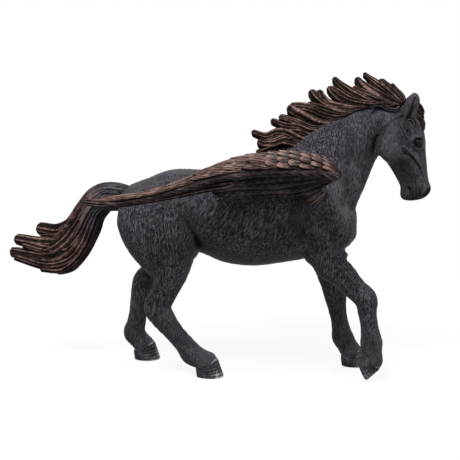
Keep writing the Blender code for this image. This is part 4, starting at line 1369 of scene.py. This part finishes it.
def horn_material():
    """Dark hooves brushed with pale grey on the edges and growth rings."""
    made, tree, shader = new_material("horn")
    streaks = stretched_noise(tree, (0.0005, 0.0005, 0.0022), 0.0)
    patches = stretched_noise(tree, (0.0030, 0.0030, 0.0022), 0.0, 2.0)
    level = worn_paint(tree, streaks, patches, 1.1)
    colour = ramp(tree, level, (
        (0.10, (0.010, 0.010, 0.012)),
        (0.50, (0.046, 0.043, 0.052)),
        (0.72, (0.120, 0.116, 0.128)),
        (0.95, (0.44, 0.43, 0.45)),
    ))
    dress(tree, shader, colour, 0.5, 0.08)
    bump(tree, shader, streaks, 0.0003, 0.6)
    return made


def eye_material():
    """Black gloss with a faint brown iris."""
    made, tree, shader = new_material("eye")
    depth = stretched_noise(tree, (0.0012, 0.0012, 0.0012))
    colour = ramp(tree, depth, ((0.3, (0.001, 0.001, 0.001)), (0.8, (0.006, 0.0035, 0.003))))
    dress(tree, shader, colour, 0.08, 0.1)
    return made


def sees_background(tree):
    """1 for the rays that show the background: the camera's, reflected and refracted ones."""
    path = tree.nodes.new("ShaderNodeLightPath")
    share = path.outputs["Is Camera Ray"]
    for ray in ("Is Glossy Ray", "Is Transmission Ray"):
        share = math_node(tree, "MAXIMUM", share, path.outputs[ray])
    return share


# Grey of the floor for the light that it throws back and for the camera
FLOOR_LIT = (0.22, 0.22, 0.22)
FLOOR_SHOWN = (0.92, 0.92, 0.92)

# The floor glows least within GLOW_NEAR metres of the middle, and by GLOW_RUN a metre more beyond it
GLOW_NEAR = 0.12
GLOW_RUN = 6.0
GLOW_LEAST = 0.86


def floor_material():
    """Pale floor that the camera sees as white apart from the figure's shadow."""
    made, tree, shader = new_material("floor")
    shown = sees_background(tree)
    colour = blend_colours(tree, shown, FLOOR_LIT, FLOOR_SHOWN)
    dress(tree, shader, colour, 0.9, 0.0)
    glow = tree.nodes.new("ShaderNodeEmission")
    away = tree.nodes.new("ShaderNodeVectorMath")
    away.operation = "LENGTH"
    where = tree.nodes.new("ShaderNodeTexCoord")
    tree.links.new(where.outputs["Object"], away.inputs[0])
    beyond = math_node(tree, "SUBTRACT", away.outputs["Value"], GLOW_NEAR)
    far = times(tree, beyond, GLOW_RUN, True)
    fade = plus(tree, times(tree, far, 1 - GLOW_LEAST), GLOW_LEAST)
    surface = tree.nodes["Material Output"].inputs["Surface"]
    blend_shaders(tree, times(tree, shown, fade), shader, glow, surface)
    return made


# Assembly


def finish_mesh(data, material, smooth_angle=None):
    """Moves a sculpted mesh onto the part, in metres, with its material and smooth shading."""
    points = (vectors(data, "co") + SETTLE) * MILLIMETRE
    move_points(data, points)
    data.materials.clear()
    data.materials.append(material)
    data.polygons.foreach_set("use_smooth", np.ones(len(data.polygons), bool))
    if smooth_angle:
        data.set_sharp_from_angle(angle=math.radians(smooth_angle))
    data.update()


def add_piece(name, data):
    item = placed(name, data)
    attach(item, BODY)
    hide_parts(NODE)
    return item


def shape_piece(name, shape, material, smooth_angle=None):
    data = new_mesh(name, shape)
    set_attribute(data, "paint", shape[2])
    set_attribute(data, "grey", shape[3])
    finish_mesh(data, material, smooth_angle)
    return add_piece(name, data)


# Shares of the coat's strokes that are smoothed away, and of pale paint above the hooves
FACE_CALM = 0.66
NECK_CALM = 0.45
LEG_CALM = 0.60
CORONET_PALE = 0.08


def body_piece(parts, feet):
    """The coat. Strokes slant on the barrel and are calmer on the face, neck and legs."""
    data = body_mesh(parts)
    points = vectors(data, "co")
    x, y, z = points.T
    barrel = smooth_step(-22, -6, x) * (1 - smooth_step(22, 38, x)) * smooth_step(HIP_Z - 26, HIP_Z - 18, z)
    set_attribute(data, "flow", barrel * smooth_step(5, 10, np.abs(y)))
    past_jaw = smooth_step(0, 2, z - 1.2 * (92 - x) + 1)
    on_face = smooth_step(57, 64, x) * smooth_step(HIP_Z + 8, HIP_Z + 14, z) * past_jaw
    on_neck = smooth_step(36, 50, x) * smooth_step(HIP_Z + 2, HIP_Z + 12, z)
    on_legs = 1 - smooth_step(14, 40, z)
    calm = np.maximum.reduce((FACE_CALM * on_face, NECK_CALM * on_neck, LEG_CALM * on_legs))
    set_attribute(data, "calm", calm)
    # Painted highlights, with pale dry-brushed paint round the coronets
    pale = painted(points, PAINTED_HIGHLIGHT)
    for coronet, _ in feet:
        away = np.linalg.norm(points - coronet, axis=1)
        pale = np.maximum(pale, CORONET_PALE * (1 - smooth_step(3.0, 7.5, away)))
    set_attribute(data, "pale", pale)
    # Painted shade in the coat's creases, hollows and gaps
    set_attribute(data, "dark", painted(points, PAINTED_SHADE))
    finish_mesh(data, coat_material())
    return add_piece("coat_skin", data)


EYE_PIXEL = (418.5, 142.8)
EYE_Y = -5.75
EYE_RADII = (1.5, 1.0, 1.3)
EYE_TILT = 25.0


def eyes():
    near = ball(seen(*EYE_PIXEL, EYE_Y), EYE_RADII, EYE_TILT, sides=40)
    return join([near, mirrored(near)])


def build_figure():
    parts, feet = body_parts()
    body_piece(parts, feet)
    shape_piece("hooves", join([hoof(*foot) for foot in feet]), horn_material(), 50)
    shape_piece("eyes", eyes(), eye_material())
    hair = plume_material("hair", (0.0016, 0.0008, 0.0008), -25.0)
    shape_piece("mane", mane(), hair)
    shape_piece("forelock", forelock(), hair)
    shape_piece("tuft", tuft(), hair)
    shape_piece("tail", tail(), hair)
    plume = plume_material("plume", (0.0018, 0.0007, 0.0007), -8.0)
    shape_piece("wing_near", wing(NEAR), plume, 60)
    shape_piece("wing_far", wing(FAR), plume, 60)


FLOOR_HALF_SIDE = 3.0
FLOOR_GAP = 0.0002


def build_floor():
    data = bpy.data.meshes.new("floor")
    half = FLOOR_HALF_SIDE
    corners = [(-half, -half, 0), (half, -half, 0), (half, half, 0), (-half, half, 0)]
    data.from_pydata(corners, [], [(0, 1, 2, 3)])
    data.materials.append(floor_material())
    floor = placed("floor", data)
    floor.location.z = -FLOOR_GAP


# Strength of the light from all sides
SURROUNDINGS = 0.34

# Lamps: name, place and aim in metres, size and power
LAMPS = (
    ("key", (-0.12, -0.38, 0.66), (0, 0, 0.06), 0.30, 5.4),
    ("fill", (0.55, -0.50, 0.35), (0.02, 0, 0.06), 0.4, 1.8),
    ("back", (0.1, 0.5, 0.6), (0, 0, 0.06), 0.4, 2.6),
)


def area_lamp(name, place, aim, size, power):
    lamp = bpy.data.lights.new(name, "AREA")
    lamp.shape = "DISK"
    lamp.size = size
    lamp.energy = power
    item = placed(name, lamp)
    item.location = place
    direction = Vector(aim) - Vector(place)
    item.rotation_euler = direction.to_track_quat("-Z", "Y").to_euler()


def build_lights():
    """White surroundings for the camera and a softer level of light on the figure."""
    world = bpy.data.worlds.new("studio")
    bpy.context.scene.world = world
    world.use_nodes = True
    tree = world.node_tree
    lit = tree.nodes["Background"]
    white = tree.nodes.new("ShaderNodeBackground")
    for node, strength in ((lit, SURROUNDINGS), (white, 1.0)):
        node.inputs["Color"].default_value = (1, 1, 1, 1)
        node.inputs["Strength"].default_value = strength
    surface = tree.nodes["World Output"].inputs["Surface"]
    blend_shaders(tree, sees_background(tree), lit, white, surface)
    for lamp in LAMPS:
        area_lamp(*lamp)


def build_camera():
    camera = bpy.data.cameras.new("camera")
    camera.sensor_width = SENSOR
    half_angle = math.atan(IMAGE_SIDE / 2 * PIXEL / VIEW_DISTANCE)
    camera.lens = SENSOR / 2 / math.tan(half_angle)
    item = placed("camera", camera)
    target = (TARGET + SETTLE) * MILLIMETRE
    item.location = target + BACK * VIEW_DISTANCE * MILLIMETRE
    item.rotation_euler = Vector(-BACK).to_track_quat("-Z", "Y").to_euler()
    camera.clip_start = 0.01
    bpy.context.scene.camera = item


build_figure()
build_floor()
build_lights()
build_camera()
bpy.context.scene.view_settings.view_transform = "Standard"
